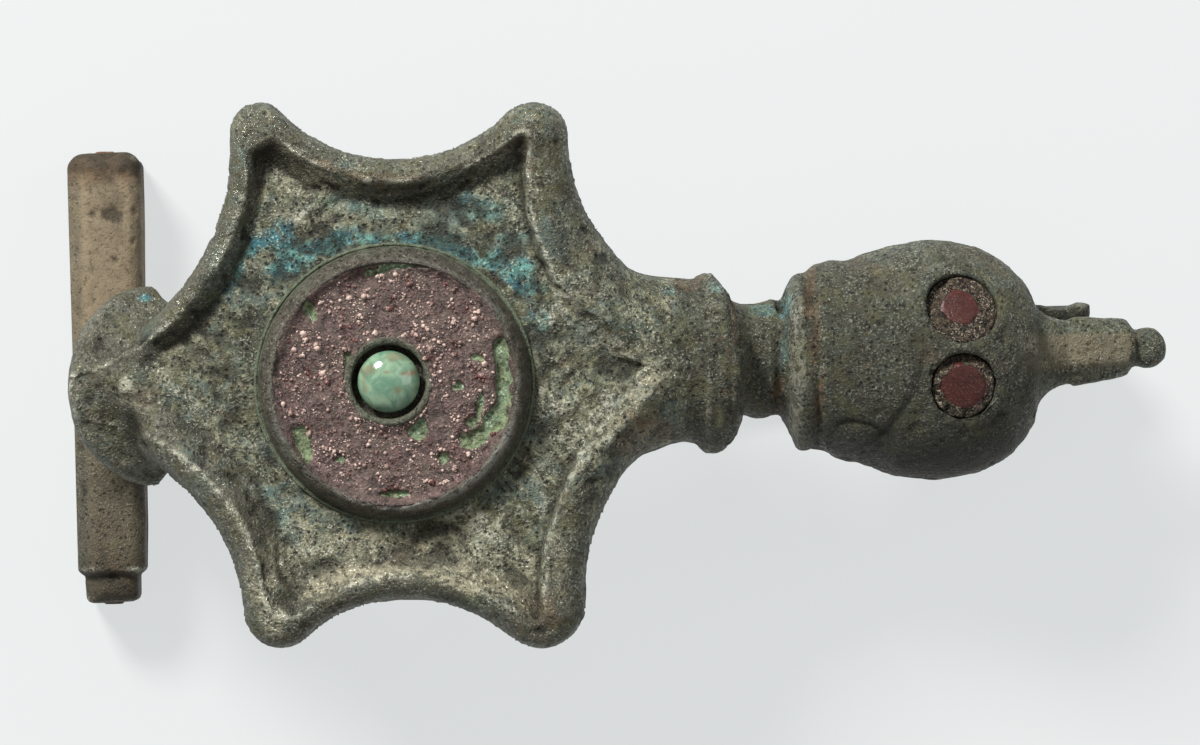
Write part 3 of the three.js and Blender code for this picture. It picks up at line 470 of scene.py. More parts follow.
def soften_field_tip():
    """The field runs out softly at the neck, under its caked dirt."""
    cut, x, y, z = block((22.5, -5.0, 10.5), (29.5, 5.2, 14.6))
    cake = np.sqrt(((x - 26.7) / 1.3) ** 2 + ((y - 0.5) / 0.75) ** 2 + ((z - 13.25) / 0.65) ** 2)
    add(cut, (cake - 1) * 0.65, 0.35)
    soften(cut, 3, window(x, 22.6, 24.6, 27.8, 29.2) * ramp(4.9, 3.4, np.abs(y - 0.1)) * ramp(10.8, 11.8, z))


def shape_beak():
    """Flat top facet and two sloping ones on the beak, and the knob at its end."""
    cut, x, y, z = block((47.2, -3.2, 7.5), (54.8, 4.4, 12.5))
    along = np.clip((x - 48.2) / 4.1, 0, 1)
    ridge = HEAD_Z + 1.5 - 0.42 * along + 0.9 * np.maximum(49.4 - x, 0) ** 2
    off = np.abs(y - 0.32 - 0.2 * along) - 0.68
    slope = math.radians(38)
    facets = np.maximum(z - ridge, off * math.sin(slope) + (z - ridge) * math.cos(slope))
    field[cut] = soft_max(field[cut], facets.astype(np.float32), mix(0.5, 0.12, ramp(48.4, 49.8, x)))
    soften(cut, 2, window(x, 47.2, 47.6, 49.0, 49.6) + 0 * y + 0 * z)
    knob = np.sqrt((1.06 * (x - KNOB_X)) ** 2 + (y - KNOB_Y) ** 2 + (z - HEAD_Z + 0.2) ** 2) - KNOB_RADIUS
    add(cut, knob, 0.25)


def add_crossbar():
    cut, x, y, z = block((-2.6, -12.2, -0.6), (2.8, 12.2, 4.8))
    half = BAR_WIDTH / 2 * (1 - BAR_TAPER / 2 * (0.5 - y / BAR_LENGTH))
    half = half - 0.12 * ramp(BAR_LENGTH / 2 - 0.9, BAR_LENGTH / 2, y)
    step = BAR_STEP_DEPTH * ramp(BAR_STEP - BAR_LENGTH / 2 + 0.08, BAR_STEP - BAR_LENGTH / 2 - 0.08, y)
    half, top = half - step, BAR_HEIGHT - step
    side, ends = np.abs(x) - half, np.abs(y) - BAR_LENGTH / 2
    flat = np.abs(z - top / 2) - top / 2
    slant = (np.abs(x) + z - (half + top - np.where(x < 0, BAR_BEVEL, BAR_BEVEL / 2))) / math.sqrt(2)
    foot = (np.abs(x) - z - (half - BAR_FOOT_BEVEL)) / math.sqrt(2)
    corner = np.where(y > 0, BAR_CORNER, BAR_CORNER / 2)
    plan = np.hypot(np.maximum(side + corner, 0), np.maximum(ends + corner, 0)) - corner
    plan = np.where((side > -corner) & (ends > -corner), plan, np.maximum(side, ends))
    body = soft_max(soft_max(plan, flat, 0.2), np.maximum(slant, foot), 0.2)
    top_end = (np.abs(y) + z - (BAR_LENGTH / 2 + top - 0.5)) / math.sqrt(2) + 0 * x
    add(cut, soft_max(body, top_end, 0.3), 0.35)


def remove_hinge():
    cut, x, y, z = block((-2.6, HINGE_Y - 1.4, -0.6), (4.2, HINGE_Y + 1.4, 4.6))
    sweep = EYE_RADIUS + 0.25
    slot = np.maximum(np.maximum(-sweep - x, x - BAR_WIDTH), np.abs(y - HINGE_Y) - EYE_WIDTH / 2 - 0.2)
    remove(cut, np.maximum(slot, z - AXLE_HEIGHT - sweep))
    cut, x, y, z = block((-1, -12.4, 1), (1, 12.4, 3.3))
    remove(cut, np.hypot(x, z - AXLE_HEIGHT) - AXLE_RADIUS - 0.06 + 0 * y)


def add_catch():
    cut, x, y, z = block((36.5, 1.2, -0.6), (51.2, 3.6, 8.2))
    upper = 7.0 - 1.4 * np.clip((x - 48.4) / 2.1, 0, 1)
    wall = soft_max(np.maximum(37.2 - x, x - 49.6 - 0.9 * z / 5.6), np.maximum(-z, z - upper), 0.2)
    sway = 0.12 * np.sin(x * 1.9) * ramp(4, 7, z)
    body = soft_max(wall, np.abs(y - CATCH_Y - CATCH_THICKNESS / 2 - sway) - CATCH_THICKNESS / 2, 0.18)
    add(cut, body, 0.15)
    cut, x, y, z = block((38.0, -1.4, -0.6), (49.4, 2.8, 3.4))
    lip = CATCH_Y - HOOK_REACH
    floor = np.maximum(np.maximum(-z, z - HOOK_FLOOR), np.maximum(lip - y, y - CATCH_Y - 0.4))
    hook = np.maximum(np.maximum(lip - y, y - lip - HOOK_LIP), np.maximum(-z, z - HOOK_LIP_HEIGHT))
    body = soft_max(soft_min(floor, hook, 0.3), (lip + 0.35 - y - z) / math.sqrt(2), 0.1)
    add(cut, soft_max(body, np.maximum(HOOK_X[0] - x, x - HOOK_X[1]), 0.2), 0.15)


def head_height(x, y):
    stations, far, near = np.array(FORE_EDGES).T
    width = (np.interp(x, stations, far) - np.interp(x, stations, near)) / 2
    return HEAD_Z + float(head_top_at(np.array(x))) * math.sqrt(max(1 - (y / width) ** 2, 0))


def eye_seat(eye, e=0.6):
    """Normal of the head's surface at an eye, and the floor of its socket."""
    x, y = eye[:2]
    normal = np.array((-(head_height(x + e, y) - head_height(x - e, y)) / (2 * e),
                       -(head_height(x, y + e) - head_height(x, y - e)) / (2 * e), 1.0))
    normal /= np.linalg.norm(normal)
    return normal, np.array((x, y, head_height(x, y))) - normal * SOCKET_DEPTH


def remove_sockets():
    for eye in EYES.values():
        normal, floor = eye_seat(eye)
        cut, x, y, z = block((eye[0] - 3, eye[1] - 3, 9), (eye[0] + 3, eye[1] + 3, 14.6))
        dx, dy, dz = x - floor[0], y - floor[1], z - floor[2]
        depth = dx * normal[0] + dy * normal[1] + dz * normal[2]
        radius = np.sqrt(np.maximum(dx ** 2 + dy ** 2 + dz ** 2 - depth ** 2, 0))
        remove(cut, np.maximum(radius - eye[2], -depth), 0.1)


for make in (add_plate, add_left_arm, add_ring, add_fore_body, soften_field_tip, shape_beak, add_crossbar,
             add_catch, remove_hinge, remove_sockets):
    make()


def sample(values, points):
    """Value of a grid at points in millimetres."""
    p = np.clip((points - LOW) / GRID, 0, SHAPE - 1.001)
    cell = p.astype(np.int64)
    return between_corners(p - cell, lambda corner: values[tuple((cell + corner).T)])


def gradient(points):
    out = np.empty_like(points)
    for axis, step in enumerate(np.eye(3) * GRID / 2):
        out[:, axis] = (sample(field, points + step) - sample(field, points - step)) / GRID
    return out


def unit(vectors):
    return vectors / np.maximum(np.linalg.norm(vectors, axis=1), 1e-6)[:, None]


def skinned(values, step, low):
    """Points in millimetres and quads, facing outwards, of a field's surface."""
    grid = openvdb.FloatGrid()
    grid.copyFromArray(values)
    points, quads = grid.convertToQuads(isovalue=0.0)
    return points.astype(np.float64) * step + low, quads[:, ::-1]


def thinned(points, quads, ratio):
    """The same surface with fewer faces where it looks down; points and triangles."""
    down = unit(gradient(points))
    under = down[:, 2] < 0.05
    rough = 0.05 * noise(points, 1.1, 95, 3) * under * ramp(5.0, 6.5, points[:, 2])
    obj = mesh_object("thinning", points + down * rough[:, None], quads, [], scale=1)
    obj.vertex_groups.new(name="underside").add(np.nonzero(under)[0].tolist(), 1.0, "REPLACE")
    modifier = obj.modifiers.new("thin", "DECIMATE")
    modifier.ratio, modifier.vertex_group, modifier.vertex_group_factor = ratio, "underside", 8.0
    modifier.use_collapse_triangulate = True
    made = bpy.data.meshes.new_from_object(obj.evaluated_get(bpy.context.evaluated_depsgraph_get()))
    made.calc_loop_triangles()
    co = np.empty(len(made.vertices) * 3)
    made.vertices.foreach_get("co", co)
    tri = np.empty(len(made.loop_triangles) * 3, np.int32)
    made.loop_triangles.foreach_get("vertices", tri)
    plain = obj.data
    bpy.data.objects.remove(obj)
    for mesh in (plain, made):
        bpy.data.meshes.remove(mesh)
    return co.reshape(-1, 3), tri.reshape(-1, 3)


def mesh_object(name, points_mm, faces, materials, smooth=True, scale=MM):
    mesh = bpy.data.meshes.new(name)
    mesh.from_pydata((np.asarray(points_mm) * scale).tolist(), [], [tuple(map(int, f)) for f in faces])
    mesh.update()
    mesh.validate()
    mesh.polygons.foreach_set("use_smooth", np.full(len(mesh.polygons), smooth))
    obj = bpy.data.objects.new(name, mesh)
    bpy.context.scene.collection.objects.link(obj)
    for material in materials:
        mesh.materials.append(material)
    return obj


def store(obj, name, values):
    obj.data.attributes.new(name, "FLOAT", "POINT").data.foreach_set("value", np.asarray(values, np.float32))


points, quads = skinned(field, GRID, LOW)
for _ in range(3):
    rise = gradient(points)
    step = np.clip(sample(field, points) / np.maximum((rise ** 2).sum(axis=1), 0.2), -0.08, 0.08)
    points -= rise * step[:, None] * 0.8
points, triangles = thinned(points, quads, KEPT_FACES)

# Patches on the bow and the enamel: x, y, half length, half width, turn in degrees, strength.
TURQUOISE = (
    (7.1, 5.8, 1.5, 0.85, 60, 1), (8.5, 6.8, 1.3, 0.8, 10, 1), (9.9, 5.6, 1.1, 0.6, 28, 1),
    (5.9, 4.2, 0.7, 0.45, 60, 0.9), (11.9, 6.5, 2.3, 0.38, 14, 1), (15.4, 6.75, 2.2, 0.32, -5, 0.9),
    (18.3, 6.0, 1.8, 0.32, -25, 1), (20.4, 5.3, 1.2, 0.45, -40, 0.9), (21.7, 4.4, 1.6, 0.6, -75, 1),
    (21.2, 6.5, 0.6, 0.4, 0, 0.6), (31.2, 3.9, 0.3, 0.25, 0, 0.4), (28.9, 3.8, 0.4, 0.2, -20, 0.35),
    (33.5, 2.8, 0.7, 0.3, 0, 0.45), (34.7, 3.1, 0.3, 0.6, -8, 0.75), (7.7, -5.8, 0.7, 0.3, -40, 0.6),
    (7.7, 7.5, 0.9, 0.4, 20, 0.7), (5.3, 3.8, 0.5, 0.3, 60, 0.6), (2.4, 4.0, 0.25, 0.15, 0, 0.8),
    (34.6, 0.6, 0.15, 1.3, -6, 0.25), (8.9, -7.2, 1.6, 0.5, -60, 0.45), (19.5, 8.2, 1.2, 0.5, -20, 0.45),
    (25.6, 2.6, 1.0, 0.5, -40, 0.35), (13.0, 8.3, 1.5, 0.4, -10, 0.35),
)
DEPOSIT = (
    (11.1, -10.4, 2.8, 0.5, 12, 1.1), (8.6, -11.5, 0.6, 1.5, 0, 0.9), (15.1, -9.7, 3.0, 0.55, 2, 1.1),
    (18.6, -10.4, 2.5, 0.6, -14, 1.1), (21.5, -10.6, 0.6, 1.2, 0, 1), (20.4, -9.5, 1.2, 0.4, -20, 0.6),
    (28.1, -0.6, 0.8, 0.6, 0, 1), (27.3, -1.4, 1.2, 0.3, 50, 0.7), (25.8, -2.9, 1.5, 0.3, 50, 0.5),
    (10.5, 9.6, 1.3, 0.7, 0, 0.6), (11.9, 7.9, 2.0, 0.5, -5, 0.4), (4.3, 0.8, 2.0, 0.5, 35, 0.5),
    (2.0, -1.1, 0.9, 0.4, 0, 0.6), (7.6, -10.0, 0.3, 1.2, 0, 0.5), (23.1, -9.6, 0.3, 1.8, 0, 0.4),
    (9.5, -8.6, 1.6, 1.1, 20, 0.7), (18.5, -8.6, 1.8, 0.9, 0, 0.7), (13.5, -8.7, 2.6, 0.7, 0, 0.75),
    (16.8, -8.9, 2.2, 0.5, 5, 0.75), (24.6, -3.0, 1.2, 0.6, 45, 0.4), (25.2, 1.6, 1.2, 0.6, -35, 0.35),
)
BROWN = (
    (12.5, 10.1, 3.0, 0.2, -22, 0.9), (15.2, 9.7, 2.0, 0.2, 0, 0.9), (20.5, 11.0, 2.0, 0.2, 25, 0.5),
    (21.7, 11.5, 0.4, 0.6, 0, 0.8), (27.3, -3.3, 1.3, 0.8, 20, 0.9), (22.3, -11.8, 1.1, 0.9, 0, 0.6),
    (15.6, -8.7, 0.8, 0.6, 0, 0.7), (17.1, -9.0, 0.5, 0.4, 0, 0.5), (29.9, 4.2, 0.6, 0.4, 0, 0.7),
    (32.1, 1.8, 0.2, 1.6, 0, 0.8), (34.3, -1.4, 0.3, 1.1, 0, 0.9), (36.0, 3.7, 0.24, 1.5, -8, 1.2),
    (36.15, 1.2, 0.24, 1.5, -3, 1.2), (36.35, -1.8, 0.24, 1.5, -5, 1.2), (2.6, -0.9, 0.7, 0.4, 0, 0.8),
    (39.4, 4.4, 2.0, 0.5, -30, 0.3), (41.9, 0.5, 0.5, 0.6, 0, 0.5), (44.5, 5.5, 1.5, 0.5, -40, 0.3),
    (20.8, -1.5, 0.4, 0.6, 0, 0.4), (-0.2, 10.9, 1.9, 0.7, 0, 0.9), (0.2, -10.2, 2.0, 1.1, 0, 0.7),
)
LOST = (
    (20.4, 0.6, 0.3, 1.0, 0, 1), (20.45, -0.9, 0.32, 1.0, -6, 1), (20.0, -2.4, 0.42, 0.9, -28, 1),
    (19.1, -3.4, 0.8, 0.38, 22, 1), (19.3, -1.6, 0.2, 0.8, -8, 0.8), (18.1, -0.8, 0.5, 0.25, 15, 0.8),
    (18.9, -2.6, 0.3, 0.25, 0, 0.6), (19.2, 0.6, 0.35, 0.2, 0, 0.7),
    (10.4, -3.4, 0.5, 0.75, 25, 1), (16.3, -3.0, 0.5, 0.45, 20, 0.9), (15.9, 5.4, 2.0, 0.2, 4, 0.8),
    (12.75, 0.1, 0.2, 0.9, 0, 0.8), (14.9, -6.1, 0.9, 0.14, 0, 0.8), (10.9, 3.1, 0.3, 0.6, 20, 0.7),
    (17.4, -4.4, 0.35, 0.3, 0, 0.6), (14.1, 5.0, 0.9, 0.2, 10, 0.6), (12.2, -4.3, 0.3, 0.2, 0, 0.6),
)
# The bead's stains, from its middle: x, y, half length, half width, strength.
STAINS = (
    (0.95, 0.42, 0.55, 0.22, 0.9), (-0.05, 0.48, 0.3, 0.12, 0.7), (0.5, -0.42, 0.3, 0.25, 0.5),
    (-1.0, 0.75, 0.5, 0.35, 0.55), (0.2, 1.15, 0.8, 0.25, 0.5), (-1.2, -0.1, 0.25, 0.5, 0.4),
)
# Lines through x, y stations.
HOOD_EDGE = ((37.4, 5.2), (38.6, 4.6), (39.7, 3.7), (40.6, 2.5), (41.3, 1.2), (41.4, 0.4),
             (41.2, -0.5), (40.6, -1.8), (39.7, -2.9), (38.7, -4.3))
NECK_STREAKS = (
    ((28.6, 0.3), (27.6, -0.9), (26.1, -2.2), (24.9, -3.9), (24.0, -5.6)),
    ((28.4, -0.6), (26.9, -2.2), (25.4, -3.9)),
    ((27.9, 0.9), (26.3, 0.5), (25.0, 1.0), (23.9, 2.2)),
)
FIELD_LINES = (((20.2, 9.7), (21.0, 8.6), (21.6, 6.8), (22.0, 5.0)),
               ((16.6, 8.5), (18.0, 8.9), (19.4, 8.7), (20.4, 7.6)))
# Ridges and grooves round the collars: x, width, height.
COLLAR_RIDGES = ((30.85, 0.2, 0.13), (31.95, 0.22, -0.16), (34.35, 0.16, -0.12), (35.5, 0.17, 0.09))


def patch_mask(patches, p, ragged=0.45):
    rough = noise(p, 0.9, 41, 3)
    total = np.zeros(len(p))
    for x, y, long, wide, turn, strength in patches:
        along, across = turned(p[:, 0] - x, p[:, 1] - y, turn)
        near = np.hypot(along / (long * 1.25), across / (wide * 1.35))
        total = np.maximum(total, strength * ramp(1.15, 0.45, near + ragged * rough))
    return total


def near_line(p, line):
    """Distance in plan from points to a line, and the side they lie on."""
    best, side = np.full(len(p), 9.0), np.zeros(len(p))
    for (ax, ay), (bx, by) in zip(line[:-1], line[1:]):
        dx, dy, px, py = bx - ax, by - ay, p[:, 0] - ax, p[:, 1] - ay
        t = np.clip((px * dx + py * dy) / (dx * dx + dy * dy), 0, 1)
        d = np.hypot(px - t * dx, py - t * dy)
        side = np.where(d < best, np.sign(dx * py - dy * px), side)
        best = np.minimum(best, d)
    return best, side


def head_relief(p, up):
    """Hood edge, cheek lump, groove behind the hood and lips of the eyes."""
    x, y, _ = p.T
    gap, side = near_line(p, HOOD_EDGE)
    dx, dy = x - 38.1, y + 3.7 - 0.12 * (x - 38.1)
    lump = np.hypot(dx / 1.15, dy / (0.62 * (1 - 0.35 * np.clip(dx, -1.2, 1.2))))
    out = ramp(1.05, 0.2, lump) * (0.14 + 0.07 * noise(p, 0.6, 17, 2))
    out -= 0.15 * bell(lump - 1.12, 0.2) * ramp(-0.6, -0.1, dy)
    out -= 0.16 * window(gap, 0.0, 0.35, 0.8, 2.6) * (side > 0)
    out *= ramp(35.5, 35.9, x)
    groove = x - 36.22 + 0.03 * y + 0.012 * (y + 1) ** 2
    out += 0.08 * bell(groove + 0.5, 0.3) - 0.24 * bell(groove, 0.16)
    for eye_x, eye_y, radius, _ in EYES.values():
        out += 0.1 * bell(np.hypot(x - eye_x, y - eye_y) - radius - 0.3, 0.22)
    out += 0.1 * bell(y - 0.55, 0.55) * window(x, 44.6, 46.6, 47.6, 48.6)
    return (out - 0.2 * bell(np.hypot((x - 45.3) / 1.7, (y + 3.1) / 0.7), 1)) * up


def bow_relief(p, n):
    """Height to add along the normal, and the sunk field, the rims and the raised line on their crest, partly
    wear and partly a painted highlight.
    """
    x, y, z = p.T
    u, v = x - STAR_X, y - STAR_Y
    angle, r = np.arctan2(v, u), np.hypot(u, v)
    up = ramp(0.0, 0.35, n[:, 2])
    plate_top = up * ramp(30.0, 28.5, x) * ramp(0.2, 1.2, z - 8)
    reach, crest, inner = outline_reach(angle), crest_reach(angle), field_reach(angle)
    in_field = ramp(0.2, -0.3, r - inner) * plate_top
    on_rim = ramp(-0.4, 0.3, r - inner) * plate_top
    # Raised crest line; as colour it is partly wear and partly a painted highlight.
    crest_ridge_and_highlight = bell(r - crest + 0.12, 0.17) * plate_top * ramp(-0.5, 0.3, noise(p, 1.8, 15, 3))
    crest_ridge_and_highlight = crest_ridge_and_highlight * np.where(u > 7.0, 0.35, 1.0)
    out = 0.05 * noise(p, 3.5, 1, 2) + 0.022 * noise(p, 1.3, 2, 2) + 0.11 * crest_ridge_and_highlight
    out += 0.02 * noise(p, 0.5, 3, 2)
    streak = noise(np.stack([(reach - r) * 6.5, angle * r * 0.9, z * 0.5], 1), 2.2, 5, 2)
    out += 0.045 * streak * on_rim * ramp(0.2, 1.2, reach - r)
    crust = noise(p, 1.7, 7, 3) + noise(p, 0.6, 8, 2) + ramp(0.1, 0.35, noise(p, 1.1, 20, 3))
    out += 0.1 * in_field * crust - 0.09 * ramp(0.55, 0.95, noise(p, 0.75, 9, 2))
    # The foot of the right walls, and the rough patch between them.
    foot = bell(r - inner + 0.12, 0.42) * ramp(6.0, 8.5, u) * ramp(-4.5, -1.5, v) * plate_top
    out += foot * (0.26 + 0.2 * noise(p, 0.9, 29, 3))
    rough_patch = window(u, 5.0, 7.5, 10.5, 13.5) * ramp(6.5, 5.0, np.abs(v)) * plate_top
    out += 0.09 * rough_patch * noise(p, 0.8, 30, 3)
    # Ladder of short marks by one point, two raised lines by another, caked streaks by the neck.
    along, across = turned(x - 9.9, y - 9.0, -8)
    ladder = ramp(1.9, 1.5, np.abs(along)) * ramp(0.75, 0.55, np.abs(across))
    out += 0.06 * ladder * np.maximum(np.sin(along * 15), 0.75 * np.sin(across * 11)) * in_field
    for line in FIELD_LINES:
        out += 0.1 * bell(near_line(p, line)[0], 0.16) * in_field
    for line in NECK_STREAKS:
        streak = bell(near_line(p, line)[0] + 0.12 * noise(p, 0.6, 34, 2), 0.2)
        out += 0.17 * streak * plate_top * (0.7 + 0.5 * noise(p, 0.9, 35, 2))
    # A notch in the rounded point by the near right corner.
    out -= 0.22 * bell(np.hypot(x - 22.0, y + 13.1), 0.3)
    out += head_relief(p, up)
    for at, wide, high in COLLAR_RIDGES:
        out += high * bell(x - at - 0.03 * y, wide) * up * (np.abs(y - 0.2) < 4.6)
    out += 0.05 * window(x, 32.0, 32.4, 34.5, 34.9) * noise(p, 0.7, 12, 2)
    # Flaked corner at the far side of the second collar, and the corroded upper edge of the catch.
    out -= 0.3 * ramp(1.1, 0.4, np.hypot((x - 34.5) / 0.28, (y - 3.4) / 0.9)) * up
    out += 0.16 * ramp(45.8, 46.6, x) * window(z, 4.5, 5.5, 6.2, 7.2) * noise(p, 0.8, 14, 2)
    # Seats, bore, slot and feet keep their true form.
    seat = np.where((r < 8) & (z > 13), ramp(6.95, 7.25, r), 1.0)
    slot = (np.abs(y - HINGE_Y) < 1.1) & (x > -1.7) & (x < 3) & (z < 3.8)
    bore = np.hypot(x, z - AXLE_HEIGHT) < 0.75
    hook = (z < 3) & (x > 37) & (y < 2.1) & (y > -0.2)
    return out * seat * ramp(0.03, 0.25, z) * ~(slot | bore | hook), in_field, on_rim, crest_ridge_and_highlight


normals = unit(gradient(points))
relief, in_field, on_rim, crest_ridge_and_highlight = bow_relief(points, normals)
points += normals * relief[:, None]


class Wire:
    """A value in a node tree; sums and products of wires are Math nodes."""

    def __init__(self, graph, socket):
        self.graph, self.socket = graph, socket

    def __add__(self, other):
        return self.graph.math("ADD", self, other)

    def __sub__(self, other):
        return self.graph.math("SUBTRACT", self, other)

    def __rsub__(self, other):
        return self.graph.math("SUBTRACT", other, self)

    def __mul__(self, other):
        return self.graph.math("MULTIPLY", self, other)

    def clamped(self):
        self.socket.node.use_clamp = True
        return self


class Graph:
    """Short names for the nodes a finish is made of. Lengths are in millimetres."""

    def __init__(self, tree):
        self.tree = tree
        metres = Wire(self, tree.nodes.new("ShaderNodeTexCoord").outputs["Object"])
        self.place = self.scaled(metres, 1 / MM)

    def node(self, kind, inputs, output=0, **settings):
        made = self.tree.nodes.new("ShaderNode" + kind)
        for key, value in settings.items():
            setattr(made, key, value)
        for key, value in inputs.items():
            self.feed(made.inputs[key], value)
        return Wire(self, made.outputs[output])

    def feed(self, socket, value):
        if isinstance(value, Wire):
            self.tree.links.new(value.socket, socket)
        else:
            socket.default_value = (*value, 1.0) if isinstance(value, tuple) else value

    def scaled(self, place, times):
        return self.node("VectorMath", {0: place, "Scale": times}, operation="SCALE")

    def math(self, operation, a, b):
        return self.node("Math", {0: a, 1: b}, operation=operation)

    def most(self, a, b):
        return self.math("MAXIMUM", a, b)

    def between(self, value, low, high, bottom=0.0, top=1.0):
        limits = {"Value": value, "From Min": low, "From Max": high, "To Min": bottom, "To Max": top}
        return self.node("MapRange", limits, "Result", interpolation_type="SMOOTHSTEP")

    def mix(self, amount, a, b):
        return self.node("Mix", {0: amount, 6: a, 7: b}, 2, data_type="RGBA")

    def coats(self, colour, *coats):
        """Lays coats over a colour, each an amount and its own colour."""
        for amount, over in coats:
            colour = self.mix(amount, colour, over)
        return colour

    def cloud(self, size, detail=3.0, rough=0.55, warp=0.0, place=None):
        given = {"Scale": 1 / size, "Detail": detail, "Roughness": rough, "Distortion": warp}
        return self.node("TexNoise", {"Vector": place or self.place, **given}, "Fac")

    def reading(self, name):
        return self.node("Attribute", {}, "Fac", attribute_name=name)

    def skin(self, size):
        made = self.node("Group", {}, node_tree=GRAIN).socket.node
        made.inputs["Grain"].default_value = size
        return [Wire(self, socket) for socket in made.outputs]


def corroded_grain():
    """Fine pitted skin of old copper alloy: bright flecks, partly painted glints, dark pits, a mottle and a
    height.
    """
    tree = bpy.data.node_groups.new("corroded_grain", "ShaderNodeTree")
    size = tree.interface.new_socket(name="Grain", in_out="INPUT", socket_type="NodeSocketFloat")
    size.default_value = 0.14
    g = Graph(tree)
    grain = Wire(g, tree.nodes.new("NodeGroupInput").outputs["Grain"])
    at = g.scaled(g.place, g.math("DIVIDE", 0.14, grain))
    fine = g.cloud(0.12, 2.0, 0.6, 0.0, at)
    second = g.cloud(0.19, 3.0, 0.7, 0.4, at)
    cell = g.node("TexVoronoi", {"Vector": at, "Scale": 1 / 0.3}, "Distance", feature="F1")
    mottle = g.cloud(0.42, 6.0, 0.85, 0.3, at)
    flecks = g.between(fine, 0.555, 0.62) * g.between(g.cloud(1.1, 4.0, 0.7, 0.6), 0.38, 0.60, 0.25, 1.0)
    pits = g.between(cell, 0.44, 0.14) * g.between(second, 0.45, 0.53)
    height = fine * 0.13 - pits * 0.06 + mottle * 0.135
    made = {"Flecks": flecks, "Pits": pits, "Mottle": mottle, "Height": height}
    for label in made:
        tree.interface.new_socket(name=label, in_out="OUTPUT", socket_type="NodeSocketFloat")
    out = tree.nodes.new("NodeGroupOutput")
    for label, value in made.items():
        g.feed(out.inputs[label], value)
    return tree


GRAIN = corroded_grain()


def finish(name, build, **constants):
    """A material whose Principled shader takes what build puts out; constants go on its sockets."""
    material = bpy.data.materials.new(name)
    material.use_nodes = True
    shader = material.node_tree.nodes["Principled BSDF"]
    g = Graph(material.node_tree)
    made = {label.replace("_", " "): value for label, value in constants.items()} | build(g)
    if "Height" in made:
        bump = {"Strength": 1.0, "Distance": MM, "Height": made.pop("Height")}
        made["Normal"] = g.node("Bump", bump, "Normal")
    for label, value in made.items():
        g.feed(shader.inputs[label], value)
    return material


def patina(g, pale):
    """Green and brown crust of the bow and the pin, with painted glints and, where the bow's masks say,
    painted shade and highlights; pale is how much of its light crust shows, on the bow's head also painted
    light and shade.
    """
    flecks, pits, mottle, bumps = g.skin(0.14)
    broad, crusts = g.cloud(2.0, 5.0, 0.7, 0.8), g.cloud(0.95, 8.0, 0.8, 1.2)
    light = g.mix(broad, (0.36, 0.36, 0.25), (0.80, 0.79, 0.66))
    middle = g.coats(
        g.mix(broad, (0.066, 0.068, 0.038), (0.17, 0.175, 0.125)),
        ((g.between(crusts, 0.50, 0.60) * (pale * 1.2)).clamped(), (0.27, 0.265, 0.165)),
        (g.between(g.cloud(1.3, 6.0, 0.75, 1.0), 0.54, 0.64, 0.0, 0.7), (0.10, 0.145, 0.12)))
    amount = g.between((mottle + crusts) * 0.5, 0.40, 0.56) * (pale * 0.92 + 0.34)
    bare = g.reading("bare") * g.between(mottle, 0.38, 0.52, 0.25, 0.85)
    sheen = g.mix(broad, (0.050, 0.047, 0.032), (0.15, 0.145, 0.115))
    cool = g.between(g.cloud(1.9, 5.0, 0.72, 1.0), 0.51, 0.62, 0.0, 0.6) * (pale * 0.9 + 0.1)
    warm = g.between(g.cloud(0.8, 5.0, 0.75, 0.9), 0.585, 0.68, 0.0, 0.6)
    hue = g.between(g.cloud(1.5, 4.0, 0.7, 0.8), 0.5, 0.62, 0.0, 0.5)
    buff = g.reading("buff") * g.between(mottle, 0.30, 0.48, 0.6, 1.0)
    blue = g.reading("turquoise") * g.between(mottle, 0.41, 0.53, 0.1, 1.0)
    teal = g.mix(g.between(g.cloud(0.9, 4, 0.6, 0.5), 0.42, 0.58), (0.042, 0.15, 0.18), (0.13, 0.31, 0.27))
    rust = g.mix(g.between(broad, 0.4, 0.6), (0.050, 0.028, 0.013), (0.19, 0.115, 0.06))
    colour = g.coats(
        g.mix(broad, (0.011, 0.011, 0.005), (0.026, 0.025, 0.013)),
        (amount.clamped(), middle),
        # Bright flecks: pale grains, partly painted glints.
        ((flecks * (pale * 0.34 + 0.34)).clamped(), light),
        (bare, g.mix(flecks * 0.45, sheen, light)),
        (cool.clamped(), g.mix(mottle, (0.014, 0.026, 0.024), (0.15, 0.225, 0.20))),
        (warm, g.mix(mottle, (0.035, 0.020, 0.009), (0.24, 0.155, 0.085))),
        (hue, g.mix(mottle, (0.030, 0.026, 0.008), (0.14, 0.135, 0.055))),
        (buff, g.mix(broad, (0.12, 0.088, 0.050), (0.27, 0.215, 0.14))),
        (blue, g.mix(flecks, teal, (0.34, 0.58, 0.50))),
        (g.reading("deposit") * g.between(mottle, 0.40, 0.56),
         g.mix(flecks, (0.29, 0.27, 0.18), (0.75, 0.71, 0.57))),
        (g.reading("brown") * g.between(mottle, 0.38, 0.56, 0.3, 0.9), rust),
        # Painted shade, and the other darkening, from the bow's mask.
        (g.reading("painted_shade_and_ledge_patina") * 0.72, (0.010, 0.009, 0.005)),
        # Lighter worn edges, and painted highlights along the rim crests.
        (g.reading("wear_and_highlight") * g.between(mottle, 0.46, 0.56, 0.05, 0.6), light),
        (pits * (0.9 - g.most(buff * 0.75, bare * 0.6)), (0.006, 0.005, 0.003)))
    rough = (g.between(flecks, 0.0, 1.0, 0.56, 0.25) - bare * 0.22).clamped() + g.most(blue, buff) * 0.2
    return {"Base Color": colour, "Roughness": rough.clamped(), "Metallic": g.most(flecks * 0.25, bare * 0.7),
            "Height": bumps * (1.0 - g.most(buff * 0.75, bare * 0.4))}


